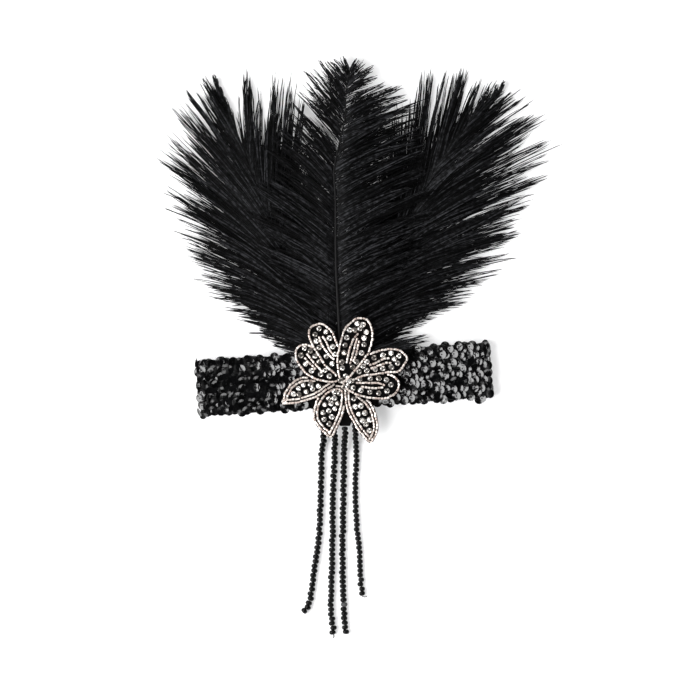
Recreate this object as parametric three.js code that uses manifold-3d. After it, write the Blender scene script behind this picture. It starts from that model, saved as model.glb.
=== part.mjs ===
// A flapper feather headband, laid flat as it is stored, in millimetres. A stretch sequin band is a
// whole loop pressed flat, with its front layer uppermost. On the middle of that layer sit a felt
// backing, the quills of three ostrich plumes, a beadwork flower of eight petals that covers the
// quills, and four strings of beads that start under the flower and lie on the surface.
// The origin is under the middle of the band, on the surface it lies on: +X runs along the band,
// +Y towards the tips of the plumes, +Z up.
import * as THREE from 'three';
import { mergeVertices } from 'three/addons/utils/BufferGeometryUtils.js';
import Module from 'manifold-3d';

const wasm = await Module();
wasm.setup();

// Sequin band
const BAND_FLAT_LENGTH = 200; // fold to fold, laid flat
const BAND_WIDTH = 38;
const BAND_CLOTH = 1.4; // the stretch cloth alone
const SEQUIN_RISE = 0.8; // how far a row of sequins stands off the cloth
const BAND_GAP = 5.6; // free space between the two layers
const SEQUIN_ROWS = 9;
const ROW_VALLEY = 1.2; // bare cloth between two rows
const BAND_TILT = 3.7; // degrees that the loop is turned where it lies
const FOLD_STEPS = 4; // facets round each fold

// Felt backing
const BACKING_FELT = 1.5;
const BACKING_OVERHANG = 9.9; // felt that hangs below the band's lower edge
const TAB_WIDTH = 6.8;
const TAB_LENGTH = 3.1; // beyond the round of the backing

// Ostrich plumes
const PLUME_LENGTH = 218; // along the shaft
const QUILL_DIAMETER = 2.6;
const SHAFT_TIP = 0.8; // diameter where the shaft ends
const LOCK_THICKNESS = 3; // a lock of barbs where it leaves the shaft
const LOCK_TIP = 1; // and where it ends
const LOCKS_A_SIDE = 6;
const LOCK_SPREAD = 1.12; // a lock's width over its share of the shaft
const LOCK_FAN = 0.35; // how much wider it gets on its way out
const LOCK_STEPS = 2;
const SIDE_PLUME_HEIGHT = 4.9; // height of the side plumes, on which the centre plume lies
const SIDE_LOCK_FALL = 0.7; // below 1 a lock drops soon after it leaves the shaft, above 1 late
const CENTRE_LOCK_FALL = 1.6;

// Beadwork flower
const FLOWER_OFFSET_X = -1.7; // from the middle of the band
const FLOWER_OFFSET_Y = -2.9;
const PETAL_LENGTH = 47;
const PETAL_WIDTH = 21;
const PETAL_FELT = 1.2;
const BEADING_RISE = 1.4; // the rows of small beads above the felt
const BEADING_WIDTH = 1.7;
const BEADING_GROOVE = 0.6; // between the two rows round a pointed petal
const PETAL_STEPS = 7; // stations along each edge of a petal

// Bead strings
const BEAD_DIAMETER = 4.2;
const BEAD_PITCH = 3.15;
const THREAD_NECK = 2.2; // diameter between two beads
const BEAD_SIDES = 10;
const STRING_RUN = 155.5; // of the longest string, beyond the lower edge of the band
const STRING_DROP_RUN = 22; // run over which a string comes down to the surface

const CLEARANCE = 0.3; // between two pieces that touch

// Heights that follow from the sizes above
const BAND_WALL = BAND_CLOTH + SEQUIN_RISE;
const BAND_TOP = 2 * BAND_WALL + BAND_GAP;
const BACKING_BOTTOM = BAND_TOP + CLEARANCE;
const BACKING_TOP = BACKING_BOTTOM + BACKING_FELT;
const QUILL_HEIGHT = BACKING_TOP + CLEARANCE + QUILL_DIAMETER / 2;
const LOWER_PETALS = BACKING_TOP + CLEARANCE;
const UPPER_PETALS = Math.max(
  BACKING_TOP + QUILL_DIAMETER + 2 * CLEARANCE,
  LOWER_PETALS + PETAL_FELT + BEADING_RISE + CLEARANCE,
);
const BACKING_RADIUS = BAND_WIDTH / 2 + BACKING_OVERHANG + FLOWER_OFFSET_Y;

// The eight petals, uppermost first. angle is counted from +X; reach, breadth and lean are shares
// of PETAL_LENGTH, PETAL_WIDTH and PETAL_LENGTH. lean bows a petal to its left.
const PETALS = [
  { name: 'petal_top', angle: 74, reach: 0.97, breadth: 1, lean: 0, pointed: false },
  { name: 'petal_upper_left', angle: 111, reach: 0.93, breadth: 0.86, lean: 0.02, pointed: false },
  { name: 'petal_upper_right', angle: 21, reach: 0.98, breadth: 0.8, lean: 0.01, pointed: false },
  { name: 'petal_left', angle: 141, reach: 0.82, breadth: 0.84, lean: -0.02, pointed: false },
  { name: 'petal_right', angle: -4, reach: 0.83, breadth: 0.83, lean: -0.03, pointed: false },
  { name: 'petal_lower_left', angle: 196, reach: 0.92, breadth: 0.72, lean: -0.05, pointed: true },
  { name: 'petal_lower_right', angle: -63, reach: 0.99, breadth: 0.9, lean: 0.05, pointed: true },
  { name: 'petal_bottom', angle: 258, reach: 0.82, breadth: 0.94, lean: -0.04, pointed: true },
];

// The three plumes. Each shaft row gives along and side as shares of PLUME_LENGTH from the middle
// of the band, and height as a share of the way up to the quills. Each lock row gives where on the
// shaft it leaves, its length as a share of PLUME_LENGTH, and its sweep off the shaft in degrees.
const PLUMES = [
  {
    name: 'plume_left',
    raised: false,
    shaft: [
      { side: -0.038, along: 0.012, height: 1 },
      { side: -0.054, along: 0.115, height: 1 },
      { side: -0.096, along: 0.2, height: 0.58 },
      { side: -0.156, along: 0.315, height: 0.3 },
      { side: -0.218, along: 0.449, height: 0.24 },
      { side: -0.281, along: 0.621, height: 0.23 },
      { side: -0.328, along: 0.745, height: 0.21 },
      { side: -0.371, along: 0.849, height: 0.17 },
      { side: -0.402, along: 0.925, height: 0.12 },
    ],
    left: [
      { at: 0.2, length: 0.21, sweep: 62 },
      { at: 0.3, length: 0.34, sweep: 54 },
      { at: 0.48, length: 0.36, sweep: 46 },
      { at: 0.66, length: 0.34, sweep: 42 },
      { at: 0.8, length: 0.23, sweep: 36 },
      { at: 0.95, length: 0.1, sweep: 20 },
    ],
    right: [
      { at: 0.28, length: 0.26, sweep: 22 },
      { at: 0.48, length: 0.36, sweep: 30 },
      { at: 0.66, length: 0.32, sweep: 29 },
      { at: 0.8, length: 0.19, sweep: 22 },
      { at: 0.95, length: 0.09, sweep: 12 },
    ],
  },
  {
    name: 'plume_right',
    raised: false,
    shaft: [
      { side: 0.012, along: 0.012, height: 1 },
      { side: 0.022, along: 0.115, height: 1 },
      { side: 0.06, along: 0.2, height: 0.58 },
      { side: 0.122, along: 0.345, height: 0.28 },
      { side: 0.209, along: 0.511, height: 0.24 },
      { side: 0.281, along: 0.652, height: 0.23 },
      { side: 0.374, along: 0.784, height: 0.2 },
      { side: 0.437, along: 0.84, height: 0.17 },
      { side: 0.491, along: 0.905, height: 0.12 },
    ],
    left: [
      { at: 0.3, length: 0.26, sweep: 22 },
      { at: 0.5, length: 0.36, sweep: 25 },
      { at: 0.68, length: 0.29, sweep: 24 },
      { at: 0.83, length: 0.17, sweep: 26 },
      { at: 0.95, length: 0.09, sweep: 14 },
    ],
    right: [
      { at: 0.21, length: 0.23, sweep: 60 },
      { at: 0.35, length: 0.36, sweep: 60 },
      { at: 0.52, length: 0.4, sweep: 56 },
      { at: 0.68, length: 0.35, sweep: 50 },
      { at: 0.83, length: 0.23, sweep: 42 },
      { at: 0.95, length: 0.11, sweep: 22 },
    ],
  },
  {
    name: 'plume_centre',
    raised: true,
    shaft: [
      { side: -0.014, along: 0.012, height: 1 },
      { side: -0.018, along: 0.15, height: 1 },
      { side: -0.028, along: 0.356, height: 0.98 },
      { side: -0.03, along: 0.558, height: 0.94 },
      { side: -0.034, along: 0.652, height: 0.9 },
      { side: -0.019, along: 0.73, height: 0.86 },
      { side: 0, along: 0.815, height: 0.78 },
      { side: 0.004, along: 0.9, height: 0.66 },
      { side: 0.018, along: 0.975, height: 0.5 },
    ],
    left: [
      { at: 0.22, length: 0.25, sweep: 44 },
      { at: 0.36, length: 0.34, sweep: 42 },
      { at: 0.57, length: 0.34, sweep: 38 },
      { at: 0.75, length: 0.23, sweep: 38 },
      { at: 0.95, length: 0.1, sweep: 24 },
    ],
    right: [
      { at: 0.22, length: 0.28, sweep: 46 },
      { at: 0.36, length: 0.38, sweep: 50 },
      { at: 0.57, length: 0.4, sweep: 50 },
      { at: 0.75, length: 0.25, sweep: 42 },
      { at: 0.95, length: 0.11, sweep: 30 },
    ],
  },
];

// Where the four bead strings run, as [place along the band, run beyond its lower edge], both as
// shares of STRING_RUN. Each string starts on the rim of the backing, at its first place.
const STRING_ROUTES = [
  {
    name: 'bead_string_1',
    route: [
      [-0.092, 0.077], [-0.094, 0.14], [-0.103, 0.217], [-0.105, 0.313], [-0.109, 0.441],
      [-0.113, 0.536], [-0.122, 0.633], [-0.138, 0.729], [-0.148, 0.812], [-0.159, 0.87],
      [-0.179, 0.899],
    ],
  },
  {
    name: 'bead_string_2',
    route: [
      [-0.046, 0.09], [-0.046, 0.129], [-0.046, 0.217], [-0.053, 0.376], [-0.055, 0.536],
      [-0.057, 0.664], [-0.06, 0.792], [-0.062, 0.888], [-0.05, 1],
    ],
  },
  {
    name: 'bead_string_3',
    route: [
      [0.001, 0.122], [-0.004, 0.184], [-0.006, 0.345], [-0.009, 0.504], [-0.01, 0.633],
      [-0.01, 0.76], [-0.005, 0.888], [0.002, 0.997],
    ],
  },
  {
    name: 'bead_string_4',
    route: [
      [0.044, 0.09], [0.046, 0.129], [0.05, 0.217], [0.046, 0.313], [0.047, 0.441],
      [0.053, 0.536], [0.063, 0.633], [0.066, 0.729], [0.071, 0.788], [0.075, 0.835],
    ],
  },
];

const BLACK_CLOTH = { color: 0x101012, roughness: 0.6, metalness: 0 };
const SEQUIN_BLACK = { color: 0x17171a, roughness: 0.3, metalness: 0.2 };
const PLUME_BLACK = { color: 0x0c0c0d, roughness: 0.8, metalness: 0 };
const PEWTER_BEADING = { color: 0xb9aaa4, roughness: 0.3, metalness: 0.7 };
const BEAD_BLACK = { color: 0x08080a, roughness: 0.12, metalness: 0 };

const radians = THREE.MathUtils.degToRad;

/** A closed three.js geometry as a solid that can be joined and cut. */
function solidFrom(geometry) {
  const bare = geometry.index ? geometry.toNonIndexed() : geometry.clone();
  bare.deleteAttribute('normal');
  bare.deleteAttribute('uv');
  const merged = mergeVertices(bare, 1e-3);
  return new wasm.Manifold(new wasm.Mesh({
    numProp: 3,
    vertProperties: new Float32Array(merged.attributes.position.array),
    triVerts: new Uint32Array(merged.index.array),
  }));
}

/** A solid back as a three.js geometry. */
function geometryFrom(solid) {
  const mesh = solid.getMesh();
  const geometry = new THREE.BufferGeometry();
  const places = new THREE.BufferAttribute(new Float32Array(mesh.vertProperties), 3);
  geometry.setAttribute('position', places);
  geometry.setIndex(new THREE.BufferAttribute(new Uint32Array(mesh.triVerts), 1));
  const flat = geometry.toNonIndexed();
  flat.computeVertexNormals();
  return flat;
}

/** A solid without the pockets that are sealed between its crossing parts. */
function pocketsFilled(solid) {
  return solid.decompose().filter((shell) => shell.volume() > 0)
    .reduce((filled, shell) => filled.add(shell));
}

/** Moves every vertex of a geometry to where place() says. */
function bend(geometry, place) {
  const positions = geometry.attributes.position;
  const point = new THREE.Vector3();
  for (let i = 0; i < positions.count; i += 1) {
    place(point.fromBufferAttribute(positions, i));
    positions.setXYZ(i, point.x, point.y, point.z);
  }
  return geometry;
}

/** A named mesh with its own material. */
function piece(name, geometry, finish) {
  const mesh = new THREE.Mesh(geometry, new THREE.MeshStandardMaterial(finish));
  mesh.name = name;
  return mesh;
}

/** The value of a column at a place between a table's rows. */
function between(rows, key, place, column) {
  const last = rows.findIndex((row) => row[key] >= place);
  if (last <= 0) return rows[last < 0 ? rows.length - 1 : 0][column];
  const share = (place - rows[last - 1][key]) / (rows[last][key] - rows[last - 1][key]);
  return THREE.MathUtils.lerp(rows[last - 1][column], rows[last][column], share);
}

/** The loop: a ribbed wall, one rib for each row of sequins, turned and then pressed flat. */
function sequinBand() {
  const rowPitch = BAND_WIDTH / SEQUIN_ROWS;
  const crest = rowPitch - ROW_VALLEY;
  const section = [new THREE.Vector2(-BAND_WALL, BAND_WIDTH / 2)];
  section.push(new THREE.Vector2(-BAND_WALL, -BAND_WIDTH / 2));
  for (let row = 0; row < SEQUIN_ROWS; row += 1) {
    const middle = -BAND_WIDTH / 2 + (row + 0.5) * rowPitch;
    section.push(new THREE.Vector2(-SEQUIN_RISE, middle - rowPitch / 2));
    section.push(new THREE.Vector2(0, middle - crest / 2));
    section.push(new THREE.Vector2(0, middle + crest / 2));
  }
  section.push(new THREE.Vector2(-SEQUIN_RISE, BAND_WIDTH / 2));
  section.push(section[0].clone());

  const turns = 2 * (FOLD_STEPS + 1);
  const ring = BAND_TOP / 2;
  const profile = section.map((p) => new THREE.Vector2(p.x + ring, p.y));
  const foldCentre = BAND_FLAT_LENGTH / 2 - ring;
  return bend(new THREE.LatheGeometry(profile, turns), (point) => {
    const radius = Math.hypot(point.x, point.z);
    const turn = Math.atan2(point.x, point.z) / (2 * Math.PI);
    const step = Math.round((turn + 1) * turns) % turns;
    const right = step <= FOLD_STEPS;
    const stepInFold = right ? step : step - FOLD_STEPS - 1;
    const swing = Math.PI / 2 - Math.PI * (stepInFold / FOLD_STEPS) - (right ? 0 : Math.PI);
    const across = point.y;
    point.x = (right ? foldCentre : -foldCentre) + radius * Math.cos(swing);
    point.y = across;
    point.z = ring + radius * Math.sin(swing);
  });
}

/** The felt behind the flower: a round with a tab that points down. */
function feltBacking() {
  const shape = new THREE.Shape();
  const halfTab = TAB_WIDTH / 2;
  const tabX = -FLOWER_OFFSET_X;
  const tabBottom = -BACKING_RADIUS - TAB_LENGTH;
  const edge = (x) => Math.atan2(-Math.sqrt(BACKING_RADIUS ** 2 - x ** 2), x);
  shape.moveTo(tabX - halfTab, tabBottom);
  shape.lineTo(tabX + halfTab, tabBottom);
  shape.absarc(0, 0, BACKING_RADIUS, edge(tabX + halfTab), edge(tabX - halfTab) + 2 * Math.PI, false);
  shape.closePath();
  const felt = new THREE.ExtrudeGeometry(shape, {
    depth: BACKING_FELT, bevelEnabled: false, curveSegments: 14,
  });
  return felt.translate(FLOWER_OFFSET_X, FLOWER_OFFSET_Y, BACKING_BOTTOM);
}

/** Half the width of a petal, as a share of its greatest, at a share of the way to its tip. */
function petalForm(share, pointed) {
  const bulge = pointed
    ? Math.sin(Math.PI * share ** 1.05) ** 0.85
    : Math.sin(Math.PI * share ** 1.4) ** 0.6;
  return Number.isFinite(bulge) ? bulge : 0;
}

/** A petal's outline, its tip up +Y, drawn in by inset and then moved outwards by margin. */
function petalOutline(petal, inset, margin) {
  const length = PETAL_LENGTH * petal.reach - inset;
  const half = (PETAL_WIDTH * petal.breadth) / 2 - inset;
  const root = inset;
  const run = length - root;
  const bow = (share) => -PETAL_LENGTH * petal.lean * Math.sin(Math.PI * share);
  const points = [new THREE.Vector2(0, root)];
  const edge = (side, share) => {
    const width = half * petalForm(share, petal.pointed);
    points.push(new THREE.Vector2(bow(share) + side * width, root + run * share));
  };
  for (let i = 1; i < PETAL_STEPS; i += 1) edge(1, Math.sin((Math.PI / 2) * (i / PETAL_STEPS)));
  points.push(new THREE.Vector2(0, length));
  for (let i = PETAL_STEPS - 1; i > 0; i -= 1) edge(-1, Math.sin((Math.PI / 2) * (i / PETAL_STEPS)));
  return new THREE.Shape(points.map((point, i) => {
    const into = point.clone().sub(points[(i + points.length - 1) % points.length]).normalize();
    const out = points[(i + 1) % points.length].clone().sub(point).normalize();
    const corner = into.clone().add(out).divideScalar(1 + into.dot(out));
    return new THREE.Vector2(point.x + margin * corner.y, point.y - margin * corner.x);
  }));
}

/** A flat solid of an outline, from one height up by a thickness, in the petal's own direction. */
function petalSlab(petal, inset, bottom, thickness, margin = 0) {
  const slab = new THREE.ExtrudeGeometry(petalOutline(petal, inset, margin), {
    depth: thickness, bevelEnabled: false,
  });
  slab.rotateZ(radians(petal.angle - 90));
  return solidFrom(slab.translate(FLOWER_OFFSET_X, FLOWER_OFFSET_Y, bottom));
}

/** One of the two raised rows up the middle of a round petal. */
function petalVein(petal, side, bottom) {
  const length = PETAL_LENGTH * petal.reach;
  const vein = new THREE.BoxGeometry(BEADING_WIDTH * 0.7, length * 0.42, BEADING_RISE + PETAL_FELT / 2);
  vein.rotateZ(side * radians(3));
  vein.translate(side * BEADING_WIDTH * 0.75, length * 0.53, (BEADING_RISE + PETAL_FELT / 2) / 2);
  vein.rotateZ(radians(petal.angle - 90));
  return solidFrom(vein.translate(FLOWER_OFFSET_X, FLOWER_OFFSET_Y, bottom + PETAL_FELT / 2));
}

/** A petal: felt with a raised row of beads round its edge and, inside, a second row or two veins. */
function beadedPetal(petal, above) {
  const bottom = petal.pointed ? LOWER_PETALS : UPPER_PETALS;
  const height = PETAL_FELT + BEADING_RISE;
  const well = (inset, rise) => petalSlab(petal, inset, bottom + PETAL_FELT, rise);
  let solid = petalSlab(petal, 0, bottom, height);
  const overhang = height; // tall enough to cut right through the beading
  if (petal.pointed) {
    const innerRow = BEADING_WIDTH + BEADING_GROOVE;
    const groove = well(BEADING_WIDTH, overhang).subtract(well(innerRow, overhang));
    solid = solid.subtract(groove).subtract(well(innerRow + BEADING_WIDTH, overhang));
  } else {
    solid = solid.subtract(well(BEADING_WIDTH, overhang));
    solid = solid.add(petalVein(petal, -1, bottom)).add(petalVein(petal, 1, bottom));
  }
  for (const upper of above.filter((other) => other.pointed === petal.pointed)) {
    const cutter = petalSlab(upper, 0, bottom - CLEARANCE, height + 2 * CLEARANCE, 1.2 * CLEARANCE);
    solid = solid.subtract(cutter);
  }
  const pieces = solid.decompose().sort((a, b) => b.volume() - a.volume());
  return geometryFrom(pieces[0]);
}

/** The line that a plume's shaft follows. */
function shaftCurve(plume) {
  return new THREE.CatmullRomCurve3(plume.shaft.map((row) => new THREE.Vector3(
    row.side * PLUME_LENGTH,
    row.along * PLUME_LENGTH,
    row.height * QUILL_HEIGHT,
  )));
}

/** A straight bar with a section of width 1 and height 1, and steps along +Z from 0 to 1. */
function bar(section, steps) {
  return new THREE.ExtrudeGeometry(new THREE.Shape(section), { depth: 1, steps, bevelEnabled: false });
}

/** The shaft of a plume, round and thinner towards its tip. */
function plumeShaft(curve) {
  const sides = 6;
  const ring = Array.from({ length: sides }, (_, i) => new THREE.Vector2(
    Math.cos((2 * Math.PI * i) / sides) / 2,
    Math.sin((2 * Math.PI * i) / sides) / 2,
  ));
  const up = new THREE.Vector3(0, 0, 1);
  return bend(bar(ring, 11), (point) => {
    const share = point.z;
    const along = curve.getTangentAt(share);
    const left = up.clone().cross(along).normalize();
    const over = along.clone().cross(left);
    const thick = THREE.MathUtils.lerp(QUILL_DIAMETER, SHAFT_TIP, share);
    const { x, y } = point;
    point.copy(curve.getPointAt(share)).addScaledVector(left, x * thick);
    point.addScaledVector(over, y * thick);
  });
}

/** A lock of barbs: a flat strip that leaves the shaft, curls towards its tip and comes to a point. */
function lock(curve, { at, length, sweep, width, restHeight, fall }) {
  const ridged = [[-0.5, 0], [0.5, 0], [0, 1]].map(([x, y]) => new THREE.Vector2(x, y));
  const root = curve.getPointAt(at);
  const ahead = curve.getTangentAt(at);
  const heading = Math.atan2(ahead.y, ahead.x);
  const curl = sweep * 0.22;
  const top = Math.max(root.z - LOCK_THICKNESS / 2, restHeight);
  const direction = (angle) => new THREE.Vector2(Math.cos(angle), Math.sin(angle));
  const knee = direction(heading + sweep + curl).multiplyScalar(length / 2);
  const end = direction(heading + sweep).multiplyScalar(length);
  return bend(bar(ridged, LOCK_STEPS), (point) => {
    const share = point.z ** 0.6; // the last step, to the point of the lock, is the shortest
    const plan = knee.clone().multiplyScalar(2 * share * (1 - share));
    plan.addScaledVector(end, share * share);
    const run = knee.clone().multiplyScalar(2 - 4 * share).addScaledVector(end, 2 * share).normalize();
    const taper = (1 + LOCK_FAN * share) * (1 - 0.9 * share ** 4);
    const thick = THREE.MathUtils.lerp(LOCK_THICKNESS, LOCK_TIP, share);
    const underside = THREE.MathUtils.lerp(top, restHeight, share ** fall);
    const { x, y } = point;
    point.set(
      root.x + plan.x - run.y * x * width * taper,
      root.y + plan.y + run.x * x * width * taper,
      underside + y * thick,
    );
  });
}

/** A plume: its shaft with locks of barbs down both sides, joined into one solid. */
function plume(description) {
  const curve = shaftCurve(description);
  const restHeight = description.raised ? SIDE_PLUME_HEIGHT + CLEARANCE : 0;
  const fall = description.raised ? CENTRE_LOCK_FALL : SIDE_LOCK_FALL;
  let solid = solidFrom(plumeShaft(curve));
  for (const [rows, side] of [[description.left, 1], [description.right, -1]]) {
    const first = rows[0].at;
    const step = (rows[rows.length - 1].at - first) / (LOCKS_A_SIDE - 1);
    for (let i = 0; i < LOCKS_A_SIDE; i += 1) {
      const at = first + i * step;
      const length = PLUME_LENGTH * between(rows, 'at', at, 'length');
      const sweep = side * radians(between(rows, 'at', at, 'sweep'));
      const width = LOCK_SPREAD * step * PLUME_LENGTH * Math.max(Math.abs(Math.sin(sweep)), 0.4);
      const size = { at, length, sweep, width, restHeight, fall };
      solid = solid.add(solidFrom(lock(curve, size)));
    }
  }
  return geometryFrom(pocketsFilled(solid));
}

/** Where the rim of the backing lies below a place along the band, for the strings sewn to it. */
function backingRim(x) {
  const off = x - FLOWER_OFFSET_X;
  const round = FLOWER_OFFSET_Y - Math.sqrt(BACKING_RADIUS ** 2 - off ** 2);
  const onTab = Math.abs(x) < TAB_WIDTH / 2;
  return onTab ? FLOWER_OFFSET_Y - BACKING_RADIUS - TAB_LENGTH : round;
}

/** A string of beads: it leaves the rim of the backing, comes down and lies on the surface. */
function beadString({ route }) {
  const radius = BEAD_DIAMETER / 2;
  const begin = route[0][0] * STRING_RUN;
  const start = backingRim(begin) - CLEARANCE;
  const sewn = BACKING_TOP - radius;
  const height = (y) => {
    const share = THREE.MathUtils.clamp((start - y) / STRING_DROP_RUN, 0, 1);
    return THREE.MathUtils.lerp(sewn, radius, (1 - Math.cos(Math.PI * share)) / 2);
  };
  const laid = route.map(([along, run]) => [along * STRING_RUN, -BAND_WIDTH / 2 - run * STRING_RUN]);
  const places = [[begin, start], ...laid.filter(([, y]) => y < start - BEAD_PITCH / 3)];
  const plan = new THREE.CatmullRomCurve3(places.map(([x, y]) => new THREE.Vector3(x, y, 0)));
  const line = new THREE.CatmullRomCurve3(plan.getSpacedPoints(60).map(
    (p) => new THREE.Vector3(p.x, p.y, height(p.y)),
  ));
  const beads = Math.round(line.getLength() / BEAD_PITCH);
  const profile = [new THREE.Vector2(0, 0)];
  for (let bead = 0; bead < beads; bead += 1) {
    profile.push(new THREE.Vector2(radius, (bead + 0.5) / beads));
    const last = bead === beads - 1;
    profile.push(new THREE.Vector2(last ? 0 : THREAD_NECK / 2, (bead + 1) / beads));
  }
  const down = new THREE.Vector3(0, 0, -1);
  return bend(new THREE.LatheGeometry(profile, BEAD_SIDES), (point) => {
    const share = THREE.MathUtils.clamp(point.y, 0, 1);
    const along = line.getTangentAt(share);
    const side = along.clone().cross(down).normalize();
    const under = side.clone().cross(along);
    const { x, z } = point;
    point.copy(line.getPointAt(share)).addScaledVector(side, x).addScaledVector(under, z);
  });
}

const headband = new THREE.Group();

const loop = new THREE.Group();
loop.rotation.z = radians(BAND_TILT);
loop.add(piece('sequin_band', sequinBand(), SEQUIN_BLACK));
headband.add(loop);

headband.add(piece('felt_backing', feltBacking(), BLACK_CLOTH));
PLUMES.forEach((description) => headband.add(piece(description.name, plume(description), PLUME_BLACK)));
PETALS.forEach((petal, i) => {
  headband.add(piece(petal.name, beadedPetal(petal, PETALS.slice(0, i)), PEWTER_BEADING));
});
STRING_ROUTES.forEach((string) => headband.add(piece(string.name, beadString(string), BEAD_BLACK)));

export default headband;
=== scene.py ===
"""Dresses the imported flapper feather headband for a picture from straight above.

The headband lies flat. Its sizes are in millimetres in the row frame (+X along the band, +Y to the
plume tips, +Z up) and become metres where a mesh is written. The studio's are in metres.
"""

import logging
import math
from collections.abc import Mapping, Sequence
from dataclasses import dataclass
from enum import Enum

import bmesh
import bpy
import numpy as np
from mathutils import Matrix, Vector


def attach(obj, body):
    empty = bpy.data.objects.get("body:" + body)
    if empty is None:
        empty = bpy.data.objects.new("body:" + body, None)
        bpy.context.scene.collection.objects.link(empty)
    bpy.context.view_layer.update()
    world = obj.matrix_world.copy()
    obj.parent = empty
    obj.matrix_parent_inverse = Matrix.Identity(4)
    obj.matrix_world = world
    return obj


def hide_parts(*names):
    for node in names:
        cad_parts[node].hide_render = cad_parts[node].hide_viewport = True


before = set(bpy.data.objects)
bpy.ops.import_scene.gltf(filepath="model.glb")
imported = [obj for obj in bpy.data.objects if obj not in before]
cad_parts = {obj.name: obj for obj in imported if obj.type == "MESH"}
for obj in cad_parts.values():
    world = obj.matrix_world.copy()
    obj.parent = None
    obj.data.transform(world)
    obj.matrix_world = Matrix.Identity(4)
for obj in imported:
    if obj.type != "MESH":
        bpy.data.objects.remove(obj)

MM = 0.001
ROOT = "root"
LOG = logging.getLogger("headband")

BAND_TILT = math.radians(3.7)
BAND_TOP = 10.0
FLOWER_CENTRE = np.array([-1.7, -2.9])
BACKING_BOTTOM = 10.3
BACKING_RADIUS = 26.0
QUILL_HEIGHT = 13.4
UPPER_FELT = 15.0
LOWER_FELT = 12.1
STRAIGHT_UP = np.array([0.0, 0, 1])


# ---------------------------------------------------------------- materials


class Value:
    """A number socket of a node tree that arithmetic can be written on."""

    def __init__(self, graph: "Graph", socket: bpy.types.NodeSocket) -> None:
        """Wraps a socket.

        Args:
            graph: The graph that the socket belongs to.
            socket: The output socket.
        """
        self.graph = graph
        self.socket = socket

    def __add__(self, other: "float | Value") -> "Value":
        """Adds."""
        return self.graph.math("ADD", self, other)

    __radd__ = __add__

    def __mul__(self, other: "float | Value") -> "Value":
        """Multiplies."""
        return self.graph.math("MULTIPLY", self, other)

    __rmul__ = __mul__

    def __sub__(self, other: "float | Value") -> "Value":
        """Subtracts."""
        return self.graph.math("SUBTRACT", self, other)

    def __rsub__(self, other: float) -> "Value":
        """Subtracts this from a number."""
        return self.graph.math("SUBTRACT", other, self)

    def __pow__(self, other: "float | Value") -> "Value":
        """Raises to a power."""
        return self.graph.math("POWER", self, other)


Input = "float | tuple | Value | bpy.types.NodeSocket"


class Graph:
    """A material's node tree, built one call at a time."""

    def __init__(self, name: str) -> None:
        """Starts an empty material.

        Args:
            name: The material's name.
        """
        self.material = bpy.data.materials.new(name)
        self.material.use_nodes = True
        self.tree = self.material.node_tree
        self.tree.nodes.clear()

    def node(
        self,
        kind: str,
        settings: Mapping[str, object] | None = None,
        inputs: Mapping[str | int, "Input"] | None = None,
    ) -> bpy.types.Node:
        """Adds a node.

        Args:
            kind: The node's type, without its ShaderNode prefix.
            settings: The node's own settings, set first.
            inputs: A value or a link for each named or numbered input.

        Returns:
            The node.
        """
        made = self.tree.nodes.new("ShaderNode" + kind)
        for key, value in (settings or {}).items():
            setattr(made, key, value)
        for key, value in (inputs or {}).items():
            self.feed(made.inputs[key], value)
        return made

    def feed(self, socket: bpy.types.NodeSocket, value: "Input") -> None:
        """Links or sets one input socket.

        Args:
            socket: The input.
            value: What goes into it.
        """
        if isinstance(value, Value):
            value = value.socket
        if isinstance(value, bpy.types.NodeSocket):
            self.tree.links.new(value, socket)
        else:
            socket.default_value = value

    def math(self, operation: str, *values: "float | Value") -> Value:
        """Adds a Math node.

        Args:
            operation: The node's operation.
            *values: Its operands.

        Returns:
            The result.
        """
        made = self.node("Math", {"operation": operation}, dict(enumerate(values)))
        return Value(self, made.outputs[0])

    def attribute(self, name: str) -> Value:
        """Reads a number that the mesh carries."""
        made = self.node("Attribute", {"attribute_name": name})
        return Value(self, made.outputs["Fac"])

    def blend(self, share: "float | Value", low: tuple, high: tuple) -> bpy.types.NodeSocket:
        """Mixes two colours.

        Args:
            share: How much of the second.
            low: The first colour, as red, green and blue.
            high: The second.

        Returns:
            The mixed colour's socket.
        """
        settings = {"data_type": "RGBA", "clamp_factor": True}
        inputs = {0: share, 6: (*low, 1.0), 7: (*high, 1.0)}
        return self.node("Mix", settings, inputs).outputs[2]

    def noise(self, scale: float, detail: float = 2.0) -> Value:
        """Cloudy noise over the object, in features of a metre over scale."""
        where = self.node("TexCoord").outputs["Object"]
        inputs = {"Vector": where, "Scale": scale, "Detail": detail}
        return Value(self, self.node("TexNoise", None, inputs).outputs["Fac"])

    def bump(self, height: Value, distance: float, strength: float = 1.0) -> bpy.types.NodeSocket:
        """Turns a height into a normal.

        Args:
            height: The height, 0 to 1.
            distance: The height of 1, in metres.
            strength: How much of it shows.

        Returns:
            The normal's socket.
        """
        inputs = {"Height": height, "Distance": distance, "Strength": strength}
        return self.node("Bump", None, inputs).outputs["Normal"]

    def surface(self, inputs: Mapping[str, "Input"]) -> bpy.types.Material:
        """Ends the tree in one glossy or matte surface.

        Args:
            inputs: The surface shader's inputs.

        Returns:
            The finished material.
        """
        shader = self.node("BsdfPrincipled", None, inputs)
        output = self.node("OutputMaterial")
        self.tree.links.new(shader.outputs["BSDF"], output.inputs["Surface"])
        return self.material


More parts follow.
